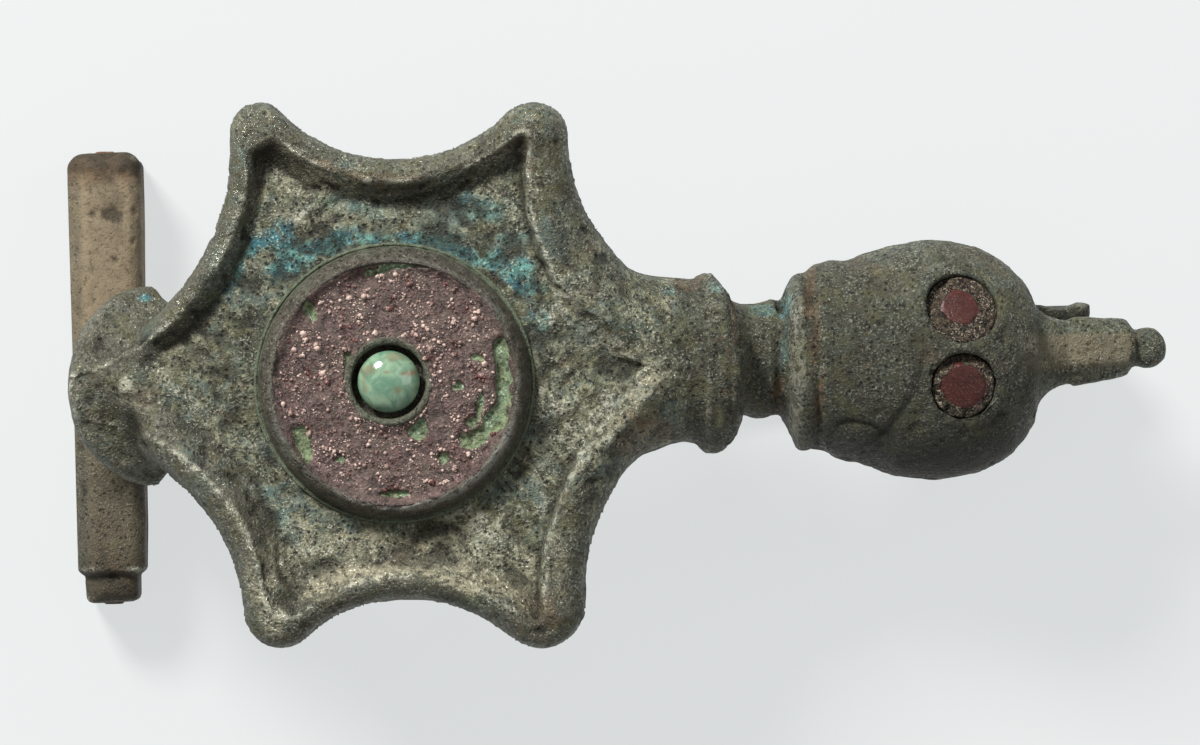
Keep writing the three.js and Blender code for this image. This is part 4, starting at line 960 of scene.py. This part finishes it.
def rim_build(g):
    flecks, pits, mottle, bumps = g.skin(0.12)
    colour = g.coats(
        g.mix(g.between(mottle, 0.36, 0.6), (0.012, 0.010, 0.006), (0.078, 0.066, 0.044)),
        (g.between(g.cloud(1.8, 3.0, 0.6, 0.5), 0.50, 0.64, 0, 0.6),
         g.mix(mottle, (0.03, 0.035, 0.02), (0.13, 0.14, 0.10))),
        # Painted highlight on the rim's crest and its lower right.
        (g.reading("wear_and_highlight") * 0.6, (0.40, 0.38, 0.33)),
        # Bright flecks, partly painted glints.
        (flecks * 0.4, (0.44, 0.41, 0.33)),
        # Green patina in the disc's outer ledge and round its cell.
        (g.reading("painted_shade_and_ledge_patina") * g.between(mottle, 0.3, 0.6, 0.5, 1.0),
         g.mix(mottle, (0.03, 0.04, 0.02), (0.20, 0.24, 0.15))),
        (pits * 0.7, (0.012, 0.010, 0.008)))
    return {"Base Color": colour, "Roughness": g.between(mottle, 0.35, 0.7, 0.28, 0.6),
            "Height": bumps * 0.9, "Metallic": flecks * 0.4}


def enamel_build(g):
    flecks, pits, mottle, bumps = g.skin(0.16)
    broad = g.cloud(1.5, 4.0, 0.65, 0.8)
    green = g.coats(
        g.mix(g.between(mottle, 0.36, 0.62), (0.04, 0.05, 0.018), (0.23, 0.285, 0.15)),
        (g.between(broad, 0.45, 0.6), g.mix(flecks, (0.15, 0.22, 0.125), (0.58, 0.68, 0.50))))
    colour = g.coats(
        g.mix(g.between(mottle, 0.36, 0.62), (0.026, 0.013, 0.010), (0.125, 0.078, 0.068)),
        (g.between(broad, 0.44, 0.62, 0, 0.5), g.mix(mottle, (0.06, 0.045, 0.03), (0.16, 0.13, 0.10))),
        (flecks * 0.45, (0.40, 0.27, 0.24)),
        (g.between(g.reading("lost") + (mottle - 0.5) * 0.6, 0.42, 0.55), green),
        (pits * 0.75, (0.03, 0.014, 0.010)))
    return {"Base Color": colour, "Roughness": g.between(mottle, 0.3, 0.7, 0.4, 0.75), "Height": bumps}


def kernel_build(g):
    colour = g.mix(g.between(g.cloud(0.9, 2.0, 0.6), 0.36, 0.6), (0.10, 0.035, 0.028), (0.50, 0.37, 0.31))
    return {"Base Color": colour, "Roughness": g.between(g.cloud(0.2), 0.3, 0.7, 0.25, 0.55),
            "Height": g.cloud(0.1, 3) * 0.03}


def bead_build(g):
    colour = g.coats(
        g.mix(g.between(g.cloud(1.2, 4.0, 0.6, 1.5), 0.35, 0.68), (0.10, 0.20, 0.13), (0.215, 0.32, 0.205)),
        (g.between(g.cloud(0.33, 3.0, 0.6, 0.8), 0.66, 0.76, 0, 0.85), (0.13, 0.075, 0.04)),
        (g.reading("lost"), (0.16, 0.10, 0.05)))
    return {"Base Color": colour, "Roughness": g.between(g.cloud(0.6, 3.0), 0.35, 0.75, 0.06, 0.22),
            "Height": g.cloud(0.35, 4.0, 0.6) * 0.006}


def eye_build(g):
    flecks, pits, mottle, bumps = g.skin(0.12)
    red = g.coats(
        g.mix(g.cloud(0.7, 4.0, 0.6, 0.5), (0.016, 0.004, 0.003), (0.085, 0.022, 0.016)),
        (flecks * 0.25, (0.30, 0.15, 0.12)),
        (pits * 0.6, (0.012, 0.005, 0.004)))
    grit = g.coats(
        g.mix(g.between(mottle, 0.42, 0.62), (0.006, 0.004, 0.002), (0.085, 0.064, 0.036)),
        (g.between(g.cloud(0.3, 3.0), 0.58, 0.68, 0, 0.6), (0.13, 0.06, 0.045)),
        (g.between(g.cloud(0.3, 2.0, 0.5, 0.3), 0.68, 0.74, 0, 0.6), (0.05, 0.17, 0.12)),
        (flecks * 0.7, (0.50, 0.42, 0.32)))
    ring = g.between(g.reading("ring") + (mottle - 0.5) * 0.5, 0.4, 0.55)
    return {"Base Color": g.mix(ring, red, grit), "Roughness": ring * 0.3 + 0.3,
            "Height": bumps * (ring + 0.2)}


def iron_build(g):
    _, _, mottle, bumps = g.skin(0.1)
    colour = g.mix(g.between(mottle, 0.35, 0.65), (0.055, 0.024, 0.012), (0.22, 0.095, 0.04))
    colour = g.mix(g.between(g.cloud(0.5), 0.55, 0.7, 0, 0.7), colour, (0.30, 0.16, 0.07))
    return {"Base Color": colour, "Roughness": g.between(mottle, 0.3, 0.7, 0.65, 0.95), "Height": bumps}


patina_bow = finish("patina_of_the_bow", lambda g: patina(g, g.reading("pale")), Specular_IOR_Level=0.32)
patina_pin = finish("patina_of_the_pin", lambda g: patina(g, 0.25), Specular_IOR_Level=0.32)
rim_finish = finish("dark_rim_of_the_disc", rim_build)
enamel_finish = finish("worn_red_enamel", enamel_build)
kernel_finish = finish("enamel_grains", kernel_build)
bead_finish = finish("turquoise_glass_bead", bead_build, Coat_Weight=0.6, Coat_Roughness=0.04)
eye_finish = finish("red_eye_inlay", eye_build, Specular_IOR_Level=0.35)
iron_finish = finish("rusted_iron", iron_build)


def paint_bow(bow):
    """Stores where each kind of patina, painted shade and painted highlight lies on the bow, by place, height
    and sharpness of edges.
    """
    x, y, z = points.T
    u, v = x - STAR_X, y - STAR_Y
    up = normals[:, 2]
    edge = np.clip((sample(blurred(field, 2), points) - 0.04) / 0.16, -1, 1)
    on_bar = ramp(5.2, 4.6, z) * ramp(3.2, 2.6, x)
    on_head = ramp(36.6, 37.4, x) * ramp(7.5, 9.0, z)
    bar_ends = 0.55 * ramp(9.7, 10.9, y) + 0.5 * (ramp(10.3, 11.0, y) + ramp(-8.2, -10.0, y))
    cheek = np.hypot((x - 38.2) / 1.6, (y + 3.8) / 0.95)
    hood_gap, hood_side = near_line(points, HOOD_EDGE)
    by_ring = ramp(9.0, 5.0, x) * ramp(6.0, 8.0, z) * (1 - in_field)
    bare = np.clip(0.85 * on_rim * ramp(26.0, 22.0, x) + 0.7 * by_ring, 0, 1)
    bare = bare * ramp(-1.1, 0.3, noise(points, 2.6, 19, 3)) * (1 - 0.5 * in_field)
    # How much of the light crust shows; on the head it also carries painted light and shade.
    flank = on_rim * ramp(-0.1, 0.5, np.hypot(u, v) - crest_reach(np.arctan2(v, u)))
    crusted = window(u, 5.5, 7.5, 9.5, 12.0) * ramp(7.0, 5.0, np.abs(v)) * (z > 9) * (1 - in_field)
    pale = 0.02 + 0.78 * in_field + 0.3 * on_rim + 0.3 * (x > 47.4) + 0.4 * in_field * ramp(-2.0, -7.0, v)
    # Paler towards the head's upper side past the hood edge, less towards its low side: painted light and
    # shade.
    pale += on_head * (0.25 * ramp(0.5, 5.0, y) * (hood_side > 0) - 0.15 * ramp(0.0, -4.0, y))
    pale += 0.3 * crusted * ramp(-0.2, 0.5, noise(points, 1.4, 33, 3)) + 0.25 * flank * ramp(-9.5, -7.5, v)
    pale += on_rim * (0.22 * ramp(3.0, 8.0, u) + 0.42 * noise(points, 0.9, 17, 3))
    pale += 0.2 * noise(points, 1.7, 16, 3) * (0.4 + 0.6 * in_field)
    # Darkening: painted shade in hollows, under the head and beak, along the hood edge and on the head's low
    # side; also on the bar's ends, the cheek, the whole head and the field by the left point.
    # Painted shade in hollows and under the head and beak; the field darker towards the left point.
    shade = ramp(0.12, 0.7, -edge) + 0.8 * (x > 45) * (z < 7.3) + 0.12 * ramp(9.0, 7.0, x) * in_field
    # The bar darker at its ends and towards its lower end.
    shade += on_bar * (bar_ends + 0.3 * ramp(-1.0, -6.0, y))
    # The cheek lump darker; painted shade in the groove along the hood edge.
    shade += on_head * (0.35 * ramp(1.3, 0.8, cheek) + 0.12 * bell(hood_gap - 0.1, 0.4))
    # Painted shade on the head's low side, below the lower eye.
    shade += on_head * 0.8 * ramp(-3.0, -4.6, y) * window(x, 39.0, 41.0, 46.5, 48.5)
    # The head darker all over, with more painted shade towards its low side.
    shade += on_head * ramp(48.5, 47.5, x) * (0.31 - 0.25 * ramp(0.5, 4.5, y))
    by_eyes = np.min([np.hypot(x - eye[0], y - eye[1]) - eye[2] for eye in EYES.values()], axis=0)
    wear_and_highlight = ramp(0.5, 1.1, edge) * mix(1.0, 0.35, ramp(29.0, 32.0, x))
    wear_and_highlight *= ramp(0.2, 1.3, by_eyes) * ramp(1.0, 1.4, cheek)
    beak_top = ramp(46.2, 47.6, x) * ramp(1.15, 0.6, np.abs(y - 0.35)) * (z > 9) * (x < 52.2)
    bar_buff = on_bar * mix(0.42, 1.0, ramp(-6.0, 4.0, y)) * mix(0.6, 1.0, ramp(-1.4, -1.0, x))
    in_plate = np.where((x > 3.5) & (x < 27), np.clip(in_field + 0.12, 0, 1), 1.0) * (z > 8)
    bar_tip = on_bar * ramp(9.9, 10.5, y + 0.3 * noise(points, 0.8, 18, 2))
    for name, values in (
        ("bare", bare * ramp(0.0, 0.35, up)),
        ("pale", np.clip(pale, 0, 1)),
        # Painted shade and the other darkening.
        ("painted_shade_and_ledge_patina", np.clip(shade, 0, 1)),
        # Lighter worn edges plus a painted highlight along the rim crests.
        ("wear_and_highlight", np.clip(wear_and_highlight + 1.2 * crest_ridge_and_highlight, 0, 1)),
        ("buff", np.clip(bar_buff + 0.42 * beak_top, 0, 1)),
        ("turquoise", patch_mask(TURQUOISE, points, 0.6) * ramp(0.0, 0.3, up) * in_plate),
        ("deposit", patch_mask(DEPOSIT, points) * ramp(-0.1, 0.3, up) * (z > 8)),
        ("brown", np.maximum(0.7 * patch_mask(BROWN, points) * ramp(-0.6, 0.2, up), bar_tip)),
    ):
        store(bow, name, values)


bow = mesh_object("bow_casting", points, triangles, [patina_bow])
paint_bow(bow)


def strip(a, b, count):
    """Quads between two rings of points that start at a and b."""
    return [(a + i, a + (i + 1) % count, b + (i + 1) % count, b + i) for i in range(count)]


def round_shell(name, radii, heights, base, centre, material, steps, drift=None, frame=None, wobble=None):
    """A closed round piece from rings of radii and heights above its flat base, and its points
    before they are turned and moved."""
    angle = np.arange(steps) * 2 * math.pi / steps
    rings = []
    for radius, height in zip(radii, heights):
        cx, cy = drift(radius) if drift else (0.0, 0.0)
        x, y = cx + radius * np.cos(angle), cy + radius * np.sin(angle)
        rings.append(np.stack([x, y, height + (wobble(radius, x, y) if wobble else 0 * x)], 1))
    outer, inner = (ring * (1, 1, 0) + (0, 0, base) for ring in (rings[0], rings[-1]))
    rings.insert(0, outer)
    last = (len(rings) - 1) * steps
    faces = [quad for row in range(0, last, steps) for quad in strip(row, row + steps, steps)]
    under = last + steps
    if radii[-1] > 0.3:
        rings.append(inner)
        faces += strip(last, under, steps) + strip(under, 0, steps)
    else:
        rings.append([rings[-1].mean(axis=0), (0, 0, base)])
        faces += [(last + i, last + (i + 1) % steps, under) for i in range(steps)]
        faces += [((i + 1) % steps, i, under + 1) for i in range(steps)]
    local = np.concatenate(rings)
    return mesh_object(name, (local if frame is None else local @ frame) + centre, faces, [material]), local


def disc_profile(count=150):
    """Radius and height of the disc setting's turned face, from its edge to its middle."""
    rim = np.array((
        (7.05, 0.1), (7.02, 0.22), (6.93, 0.24), (6.86, 0.14), (6.8, 0.42), (6.7, 0.8), (6.54, 1.14),
        (6.36, 1.38), (6.18, 1.52), (6.06, 1.52), (5.98, 1.4), (5.95, 1.1), (5.94, DISC_FLOOR),
        (4.0, DISC_FLOOR), (2.34, DISC_FLOOR), (2.3, 1.0), (2.22, 1.28), (2.08, 1.36), (1.93, 1.3),
        (1.86, 1.1), (1.85, 0.25), (0.05, 0.25)))
    length = np.concatenate([[0], np.cumsum(np.hypot(*np.diff(rim, axis=0).T))])
    return [np.interp(np.linspace(0, length[-1], count), length, column) for column in rim.T]


def cell_drift(radius):
    t = float(ramp(5.6, 2.6, np.array(radius)))
    return CELL_X * t, CELL_Y * t


def disc_wobble(radius, x, y):
    p = np.stack([x, y, np.full_like(x, radius)], 1)
    chips = ramp(0.45, 0.9, noise(p, 0.8, 24, 2))
    cell = 0.05 * noise(p, 0.5, 23, 2) * (radius < 2.4)
    return (radius > 1.9) * (0.06 * noise(p, 1.3, 21, 3) + 0.04 * noise(p, 0.4, 22, 2) - 0.08 * chips + cell)


star = np.array((STAR_X, STAR_Y, FIELD_TOP))
disc, local = round_shell("disc_rim", *disc_profile(), -0.01, star, rim_finish, 360, cell_drift, None,
                          disc_wobble)
x, y, _ = local.T
r, turn = np.hypot(x, y), np.arctan2(y, x)
ledge, cell_ring = ramp(6.78, 6.86, r), window(np.hypot(x - CELL_X, y - CELL_Y), 1.7, 1.85, 2.35, 2.5)
# On the disc this mask is green patina in the ledge and round the cell.
store(disc, "painted_shade_and_ledge_patina", np.clip(ledge + 0.35 * cell_ring, 0, 1))
# Painted highlight along the rim's crest, strongest towards its lower right, and a brighter painted streak of
# highlight on the lower right.
highlight_side = 0.55 * (0.35 + 0.65 * ramp(0.2, 0.9, np.cos(turn + math.radians(55))))
crest = bell(r - 6.2, 0.12) * ramp(-0.5, 0.6, noise(local, 1.2, 25)) * highlight_side
streak = bell(r - 6.3, 0.16) * ramp(0.55, 1.0, np.cos(turn + math.radians(58)))
store(disc, "wear_and_highlight", np.clip(crest + 1.3 * streak * ramp(-0.7, 0.2, noise(local, 0.9, 26)), 0, 1))


def lost_enamel(p):
    """Where the enamel is gone, at any height."""
    return patch_mask(LOST, p * (1, 1, 0) + (0, 0, 3.0), 0.5)


def enamel_wobble(radius, x, y):
    p = np.stack([x + STAR_X, y + STAR_Y, np.full_like(x, 3.0)], 1)
    rough = 0.09 * noise(p, 1.6, 31, 3) + 0.07 * noise(p, 0.5, 33, 2)
    return rough - 0.3 * lost_enamel(p) + 0.3 * bell(radius - 6.1, 0.35) + 0.12 * bell(radius - 2.2, 0.3)


enamel, local = round_shell(
    "enamel_field", np.linspace(6.14, 2.12, 76), np.full(76, ENAMEL_TOP), DISC_FLOOR + 0.01, star,
    enamel_finish, 330, cell_drift, None, enamel_wobble)
store(enamel, "lost", lost_enamel(local + star))

swing = np.linspace(-0.62 * math.pi / 2, math.pi / 2 - 0.02, 46)
bead_heights = BEAD_MIDDLE + np.where(swing > 0, 0.93, 0.75) * np.sin(swing)
bead, local = round_shell(
    "glass_bead_dome", BEAD_RADIUS * np.cos(swing), bead_heights, 0.26, star + (CELL_X, CELL_Y, 0),
    bead_finish, 120, None, None,
    lambda radius, x, y: -0.04 * np.exp(-((x - 0.7) ** 2 + (y - 0.55) ** 2) / 0.12))
stains = np.zeros(len(local))
for x, y, long, wide, strength in STAINS:
    near = np.hypot((local[:, 0] - x) / long, (local[:, 1] - y) / wide) + 0.5 * noise(local, 0.45, 62, 3)
    stains = np.maximum(stains, strength * ramp(1.2, 0.4, near))
store(bead, "lost", stains * (local[:, 2] > 0.9))


def eye_piece(name, eye, ring_turn, red_off):
    """A round red inlay with a gritty, partly lost ring round it."""
    normal, floor = eye_seat(eye)
    side = np.array((1.0, 0.0, -normal[0] / normal[2]))
    side /= np.linalg.norm(side)
    frame_rows = np.array([side, np.cross(normal, side), normal])
    radius, red_radius = eye[2] - 0.05, eye[3]
    radii = np.concatenate([[radius, radius], np.linspace(radius - 0.05, 0.06, 40)])
    heights = np.concatenate([[0.3, 0.55], 0.62 + 0.12 * np.sqrt(1 - (np.linspace(1, 0.02, 40)) ** 2)])

    def wobble(r, x, y):
        p = np.stack([x, y, np.full_like(x, eye[1])], 1)
        red = np.hypot(x - red_off[0], y - red_off[1])
        ring = ramp(red_radius - 0.12, red_radius + 0.12, red)
        low = 0.34 * ramp(0.5, 1.0, (x * math.cos(ring_turn) + y * math.sin(ring_turn)) / radius)
        centre = (1 - ring) * 0.04 * np.sqrt(np.maximum(1 - (red / red_radius) ** 2, 0))
        return ring * (0.13 * noise(p, 0.45, 51, 3) - 0.04 - low) * (r < radius - 0.02) + centre

    obj, local = round_shell(name, radii, heights, 0.01, floor + (0.04, -0.05, 0.0), eye_finish, 150,
                             None, frame_rows, wobble)
    red = np.hypot(local[:, 0] - red_off[0], local[:, 1] - red_off[1]) + 0.14 * noise(local, 0.55, 61, 3)
    store(obj, "ring", ramp(red_radius - 0.3, red_radius + 0.3, red))
    return obj


eye_upper = eye_piece("eye_upper", EYES["upper"], math.radians(150), (-0.12, 0.1))
eye_lower = eye_piece("eye_lower", EYES["lower"], math.radians(100), (-0.05, 0.05))


def scatter(obj, name, per_mm2, size_low, size_high, seed, kernel, sides):
    """Bakes small grains onto the upper faces of a piece with geometry nodes."""
    tree = bpy.data.node_groups.new(name, "GeometryNodeTree")
    tree.interface.new_socket(name="Geometry", in_out="INPUT", socket_type="NodeSocketGeometry")
    modifier = obj.modifiers.new(name, "NODES")
    sockets = {}
    for label, kind, value in (
            ("Grains per square metre", "Float", per_mm2 / MM ** 2), ("Smallest", "Float", size_low * MM),
            ("Largest", "Float", size_high * MM), ("Seed", "Int", seed)):
        socket = tree.interface.new_socket(name=label, in_out="INPUT", socket_type="NodeSocket" + kind)
        sockets[socket.identifier] = socket.default_value = value
    tree.interface.new_socket(name="Geometry", in_out="OUTPUT", socket_type="NodeSocketGeometry")

    def node(kind, inputs=(), **settings):
        made = tree.nodes.new(kind)
        for key, value in settings.items():
            setattr(made, key, value)
        for key, value in dict(inputs).items():
            if isinstance(value, bpy.types.NodeSocket):
                tree.links.new(value, made.inputs[key])
            else:
                made.inputs[key].default_value = value
        return made.outputs

    given = node("NodeGroupInput")
    choice = node("GeometryNodeInputNamedAttribute", {"Name": "grainy"}, data_type="FLOAT")
    spread = node("GeometryNodeDistributePointsOnFaces", {
        "Mesh": given["Geometry"], "Density": given["Grains per square metre"],
        "Selection": choice["Attribute"], "Seed": given["Seed"]})
    size = node("FunctionNodeRandomValue", {2: given["Smallest"], 3: given["Largest"], "Seed": given["Seed"]},
                data_type="FLOAT")
    turn = node("FunctionNodeRandomValue", {"Max": (6.28, 6.28, 6.28)}, data_type="FLOAT_VECTOR")
    squash = node("FunctionNodeRandomValue", {"Min": (0.7, 0.7, 0.5), "Max": (1.2, 1.2, 1.0)},
                  data_type="FLOAT_VECTOR")
    squashed = node("ShaderNodeVectorMath", {0: squash[0], "Scale": size[1]}, operation="SCALE")
    grain = node("GeometryNodeMeshUVSphere", {"Segments": sides, "Rings": sides - 2, "Radius": 1.0})
    placed = node("GeometryNodeInstanceOnPoints", {
        "Points": spread["Points"], "Instance": grain["Mesh"], "Rotation": turn[0], "Scale": squashed[0]})
    real = node("GeometryNodeRealizeInstances", {"Geometry": placed["Instances"]})
    painted = node("GeometryNodeSetMaterial", {"Geometry": real["Geometry"], "Material": kernel})
    smooth = node("GeometryNodeSetShadeSmooth", {"Geometry": painted["Geometry"]})
    join, out = tree.nodes.new("GeometryNodeJoinGeometry"), tree.nodes.new("NodeGroupOutput")
    for part in (given, smooth):
        tree.links.new(part["Geometry"], join.inputs["Geometry"])
    tree.links.new(join.outputs["Geometry"], out.inputs["Geometry"])

    modifier.node_group = tree
    for identifier, value in sockets.items():
        modifier[identifier] = value
    if kernel.name not in obj.data.materials:
        obj.data.materials.append(kernel)
    view = bpy.context.evaluated_depsgraph_get()
    baked = bpy.data.meshes.new_from_object(
        obj.evaluated_get(view), preserve_all_data_layers=True, depsgraph=view)
    obj.modifiers.clear()
    plain, obj.data = obj.data, baked
    baked.name = plain.name + "_with_grains"
    bpy.data.meshes.remove(plain)


positions = np.empty(len(enamel.data.vertices) * 3, np.float32)
enamel.data.vertices.foreach_get("co", positions)
positions = positions.reshape(-1, 3) / MM
grainy = np.hypot(positions[:, 0] - STAR_X, positions[:, 1] - STAR_Y) < 5.75
grainy &= (positions[:, 2] > FIELD_TOP + DISC_FLOOR + 0.3) & (noise(positions, 1.3, 71, 2) > -0.35)
store(enamel, "grainy", grainy & (lost_enamel(positions) < 0.3))
for name, per_mm2, size_low, size_high, seed, sides in (
    ("enamel_lump_scatter", 0.55, 0.12, 0.2, 7, 7),
    ("enamel_grain_scatter", 5.5, 0.05, 0.12, 5, 7),
    ("enamel_dust_scatter", 22.0, 0.025, 0.06, 6, 5),
):
    scatter(enamel, name, per_mm2, size_low, size_high, seed, kernel_finish, sides)


def lathe_y(name, stations, centre, material, steps=48):
    """A closed turned rod along y from places along it and radii."""
    angle = np.arange(steps) * 2 * math.pi / steps
    rings = [np.stack([r * np.cos(angle), np.full(steps, y), r * np.sin(angle)], 1) for y, r in stations]
    p = np.concatenate(rings + [[(0, stations[0][0], 0), (0, stations[-1][0], 0)]])
    last = (len(rings) - 1) * steps
    faces = [quad for row in range(0, last, steps) for quad in strip(row + steps, row, steps)]
    faces += [((i + 1) % steps, len(p) - 2, i) for i in range(steps)]
    faces += [(last + i, len(p) - 1, last + (i + 1) % steps) for i in range(steps)]
    p[:, 0] += 0.02 * noise(p, 0.7, 81, 2)
    return mesh_object(name, p + centre, faces, [material])


half = BAR_LENGTH / 2 + AXLE_PROUD
stations = [(-half, AXLE_RADIUS - 0.12), (-half + 0.06, AXLE_RADIUS - 0.03)]
stations += [(y, AXLE_RADIUS - 0.015) for y in np.linspace(-half + 0.12, half - 0.12, 60)]
stations += [(half - 0.06, AXLE_RADIUS - 0.03), (half, AXLE_RADIUS - 0.12)]
axle = lathe_y("iron_axle", stations, np.array((0, 0, AXLE_HEIGHT)), iron_finish)


def pin_mesh(step=0.1):
    """The pin's eye round the axle and its tapering wire, lying down to its point."""
    low, high = np.array((-1.6, -2.8, -0.3)), np.array((47.2, -0.6, 3.7))
    shape = np.ceil((high - low) / step).astype(int)
    x, y, z = (low[i] + step * np.arange(shape[i]) for i in range(3))
    x, y, z = x[:, None, None], (y - HINGE_Y)[None, :, None], (z - AXLE_HEIGHT)[None, None, :]
    dip = math.asin((AXLE_HEIGHT - PIN_TIP) / PIN_TAPER)
    along = x * math.cos(dip) - z * math.sin(dip)
    height = x * math.sin(dip) + z * math.cos(dip)
    point = np.clip((along - PIN_TAPER) / (PIN_REACH - PIN_TAPER), 0, 1)
    radius = mix(PIN_ROOT, PIN_TIP, np.clip(along / PIN_TAPER, 0, 1)) * (1 - 0.9 * point ** 1.6)
    rod = np.maximum(np.hypot(y, height) - radius, np.maximum(0.6 - along, along - PIN_REACH + 0.05))
    eye = soft_max(np.hypot(x, z) - EYE_RADIUS + 0 * y, np.abs(y) - EYE_WIDTH / 2 + 0 * x + 0 * z, 0.12)
    body = soft_max(soft_min(eye, rod, 0.5), AXLE_RADIUS + 0.08 - np.hypot(x, z) + 0 * y, 0.05)
    p, quads = skinned(np.clip(body.astype(np.float32), -0.6, 0.6), step, low)
    away = np.hypot(p[:, 0], p[:, 2] - AXLE_HEIGHT)
    p[:, 1] += 0.02 * noise(p, 1.5, 91, 2) * ramp(1.6, 2.6, away) * ramp(PIN_REACH, PIN_REACH - 4, p[:, 0])
    return p, quads


pin = mesh_object("swinging_pin", *pin_mesh(), [patina_pin])

for piece, node, body, slot in (
    (bow, "bow", "brooch", "bow"),
    (disc, "disc_setting", "brooch", "disc_setting"),
    (enamel, "enamel_ring", "brooch", "enamel_ring"),
    (bead, "glass_bead", "brooch", "glass_bead"),
    (eye_upper, "eye_inlay_upper", "brooch", "eye_inlay_upper"),
    (eye_lower, "eye_inlay_lower", "brooch", "eye_inlay_lower"),
    (axle, "axle_rod", "brooch", "axle_rod"),
    (pin, "pin", "pin", "pin"),
):
    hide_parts(node)
    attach(piece, body)

# The photo's camera and light.
PHOTO_WIDTH_MM = 60.0
CAMERA_DISTANCE = 400.0
CAMERA_X, CAMERA_Y, CAMERA_PLANE = 25.31, -0.232, 15.0
CAMERA_ROLL = math.radians(-1.15)
KEY_POWER, FILL_POWER, SKY_POWER = 2.9, 0.2, 0.33
FLOOR_REACH = 1500


def placed(name, data):
    obj = bpy.data.objects.new(name, data)
    bpy.context.scene.collection.objects.link(obj)
    return obj


def make_camera():
    data = bpy.data.cameras.new("camera")
    data.sensor_width = 36
    data.lens = data.sensor_width * CAMERA_DISTANCE / PHOTO_WIDTH_MM
    data.clip_start, data.clip_end = 0.01, 10
    camera = placed("camera", data)
    camera.location = (CAMERA_X * MM, CAMERA_Y * MM, (CAMERA_PLANE + CAMERA_DISTANCE) * MM)
    camera.rotation_euler = (0, 0, CAMERA_ROLL)
    bpy.context.scene.camera = camera


def area_light(name, place, size, power, aim=(25, 0, 8)):
    data = bpy.data.lights.new(name, "AREA")
    data.size = size * MM
    data.energy = power
    light = placed(name, data)
    light.location = Vector(place) * MM
    light.rotation_euler = (Vector(aim) - Vector(place)).to_track_quat("-Z", "Y").to_euler()


make_camera()
area_light("key_softbox", (-150, 260, 240), 100, KEY_POWER)
area_light("fill_softbox", (260, 60, 240), 200, FILL_POWER)

world = bpy.data.worlds.new("studio")
world.use_nodes = True
sky = world.node_tree.nodes["Background"].inputs
sky["Color"].default_value = (0.97, 0.98, 1.0, 1)
sky["Strength"].default_value = SKY_POWER
bpy.context.scene.world = world
bpy.context.scene.view_settings.view_transform = "Standard"


def floor_build(g):
    return {"Base Color": g.mix(g.cloud(60.0, 2.0, 0.5), (0.115, 0.118, 0.115), (0.125, 0.128, 0.125))}


floor_finish = finish("pale_floor", floor_build, Roughness=0.95, Emission_Color=(0.97, 1.0, 1.0),
                      Emission_Strength=0.66)
corners = [(x * FLOOR_REACH, y * FLOOR_REACH, 0) for x, y in ((-1, -1), (1, -1), (1, 1), (-1, 1))]
stage = mesh_object("floor", corners, [(0, 1, 2, 3)], [floor_finish], False)
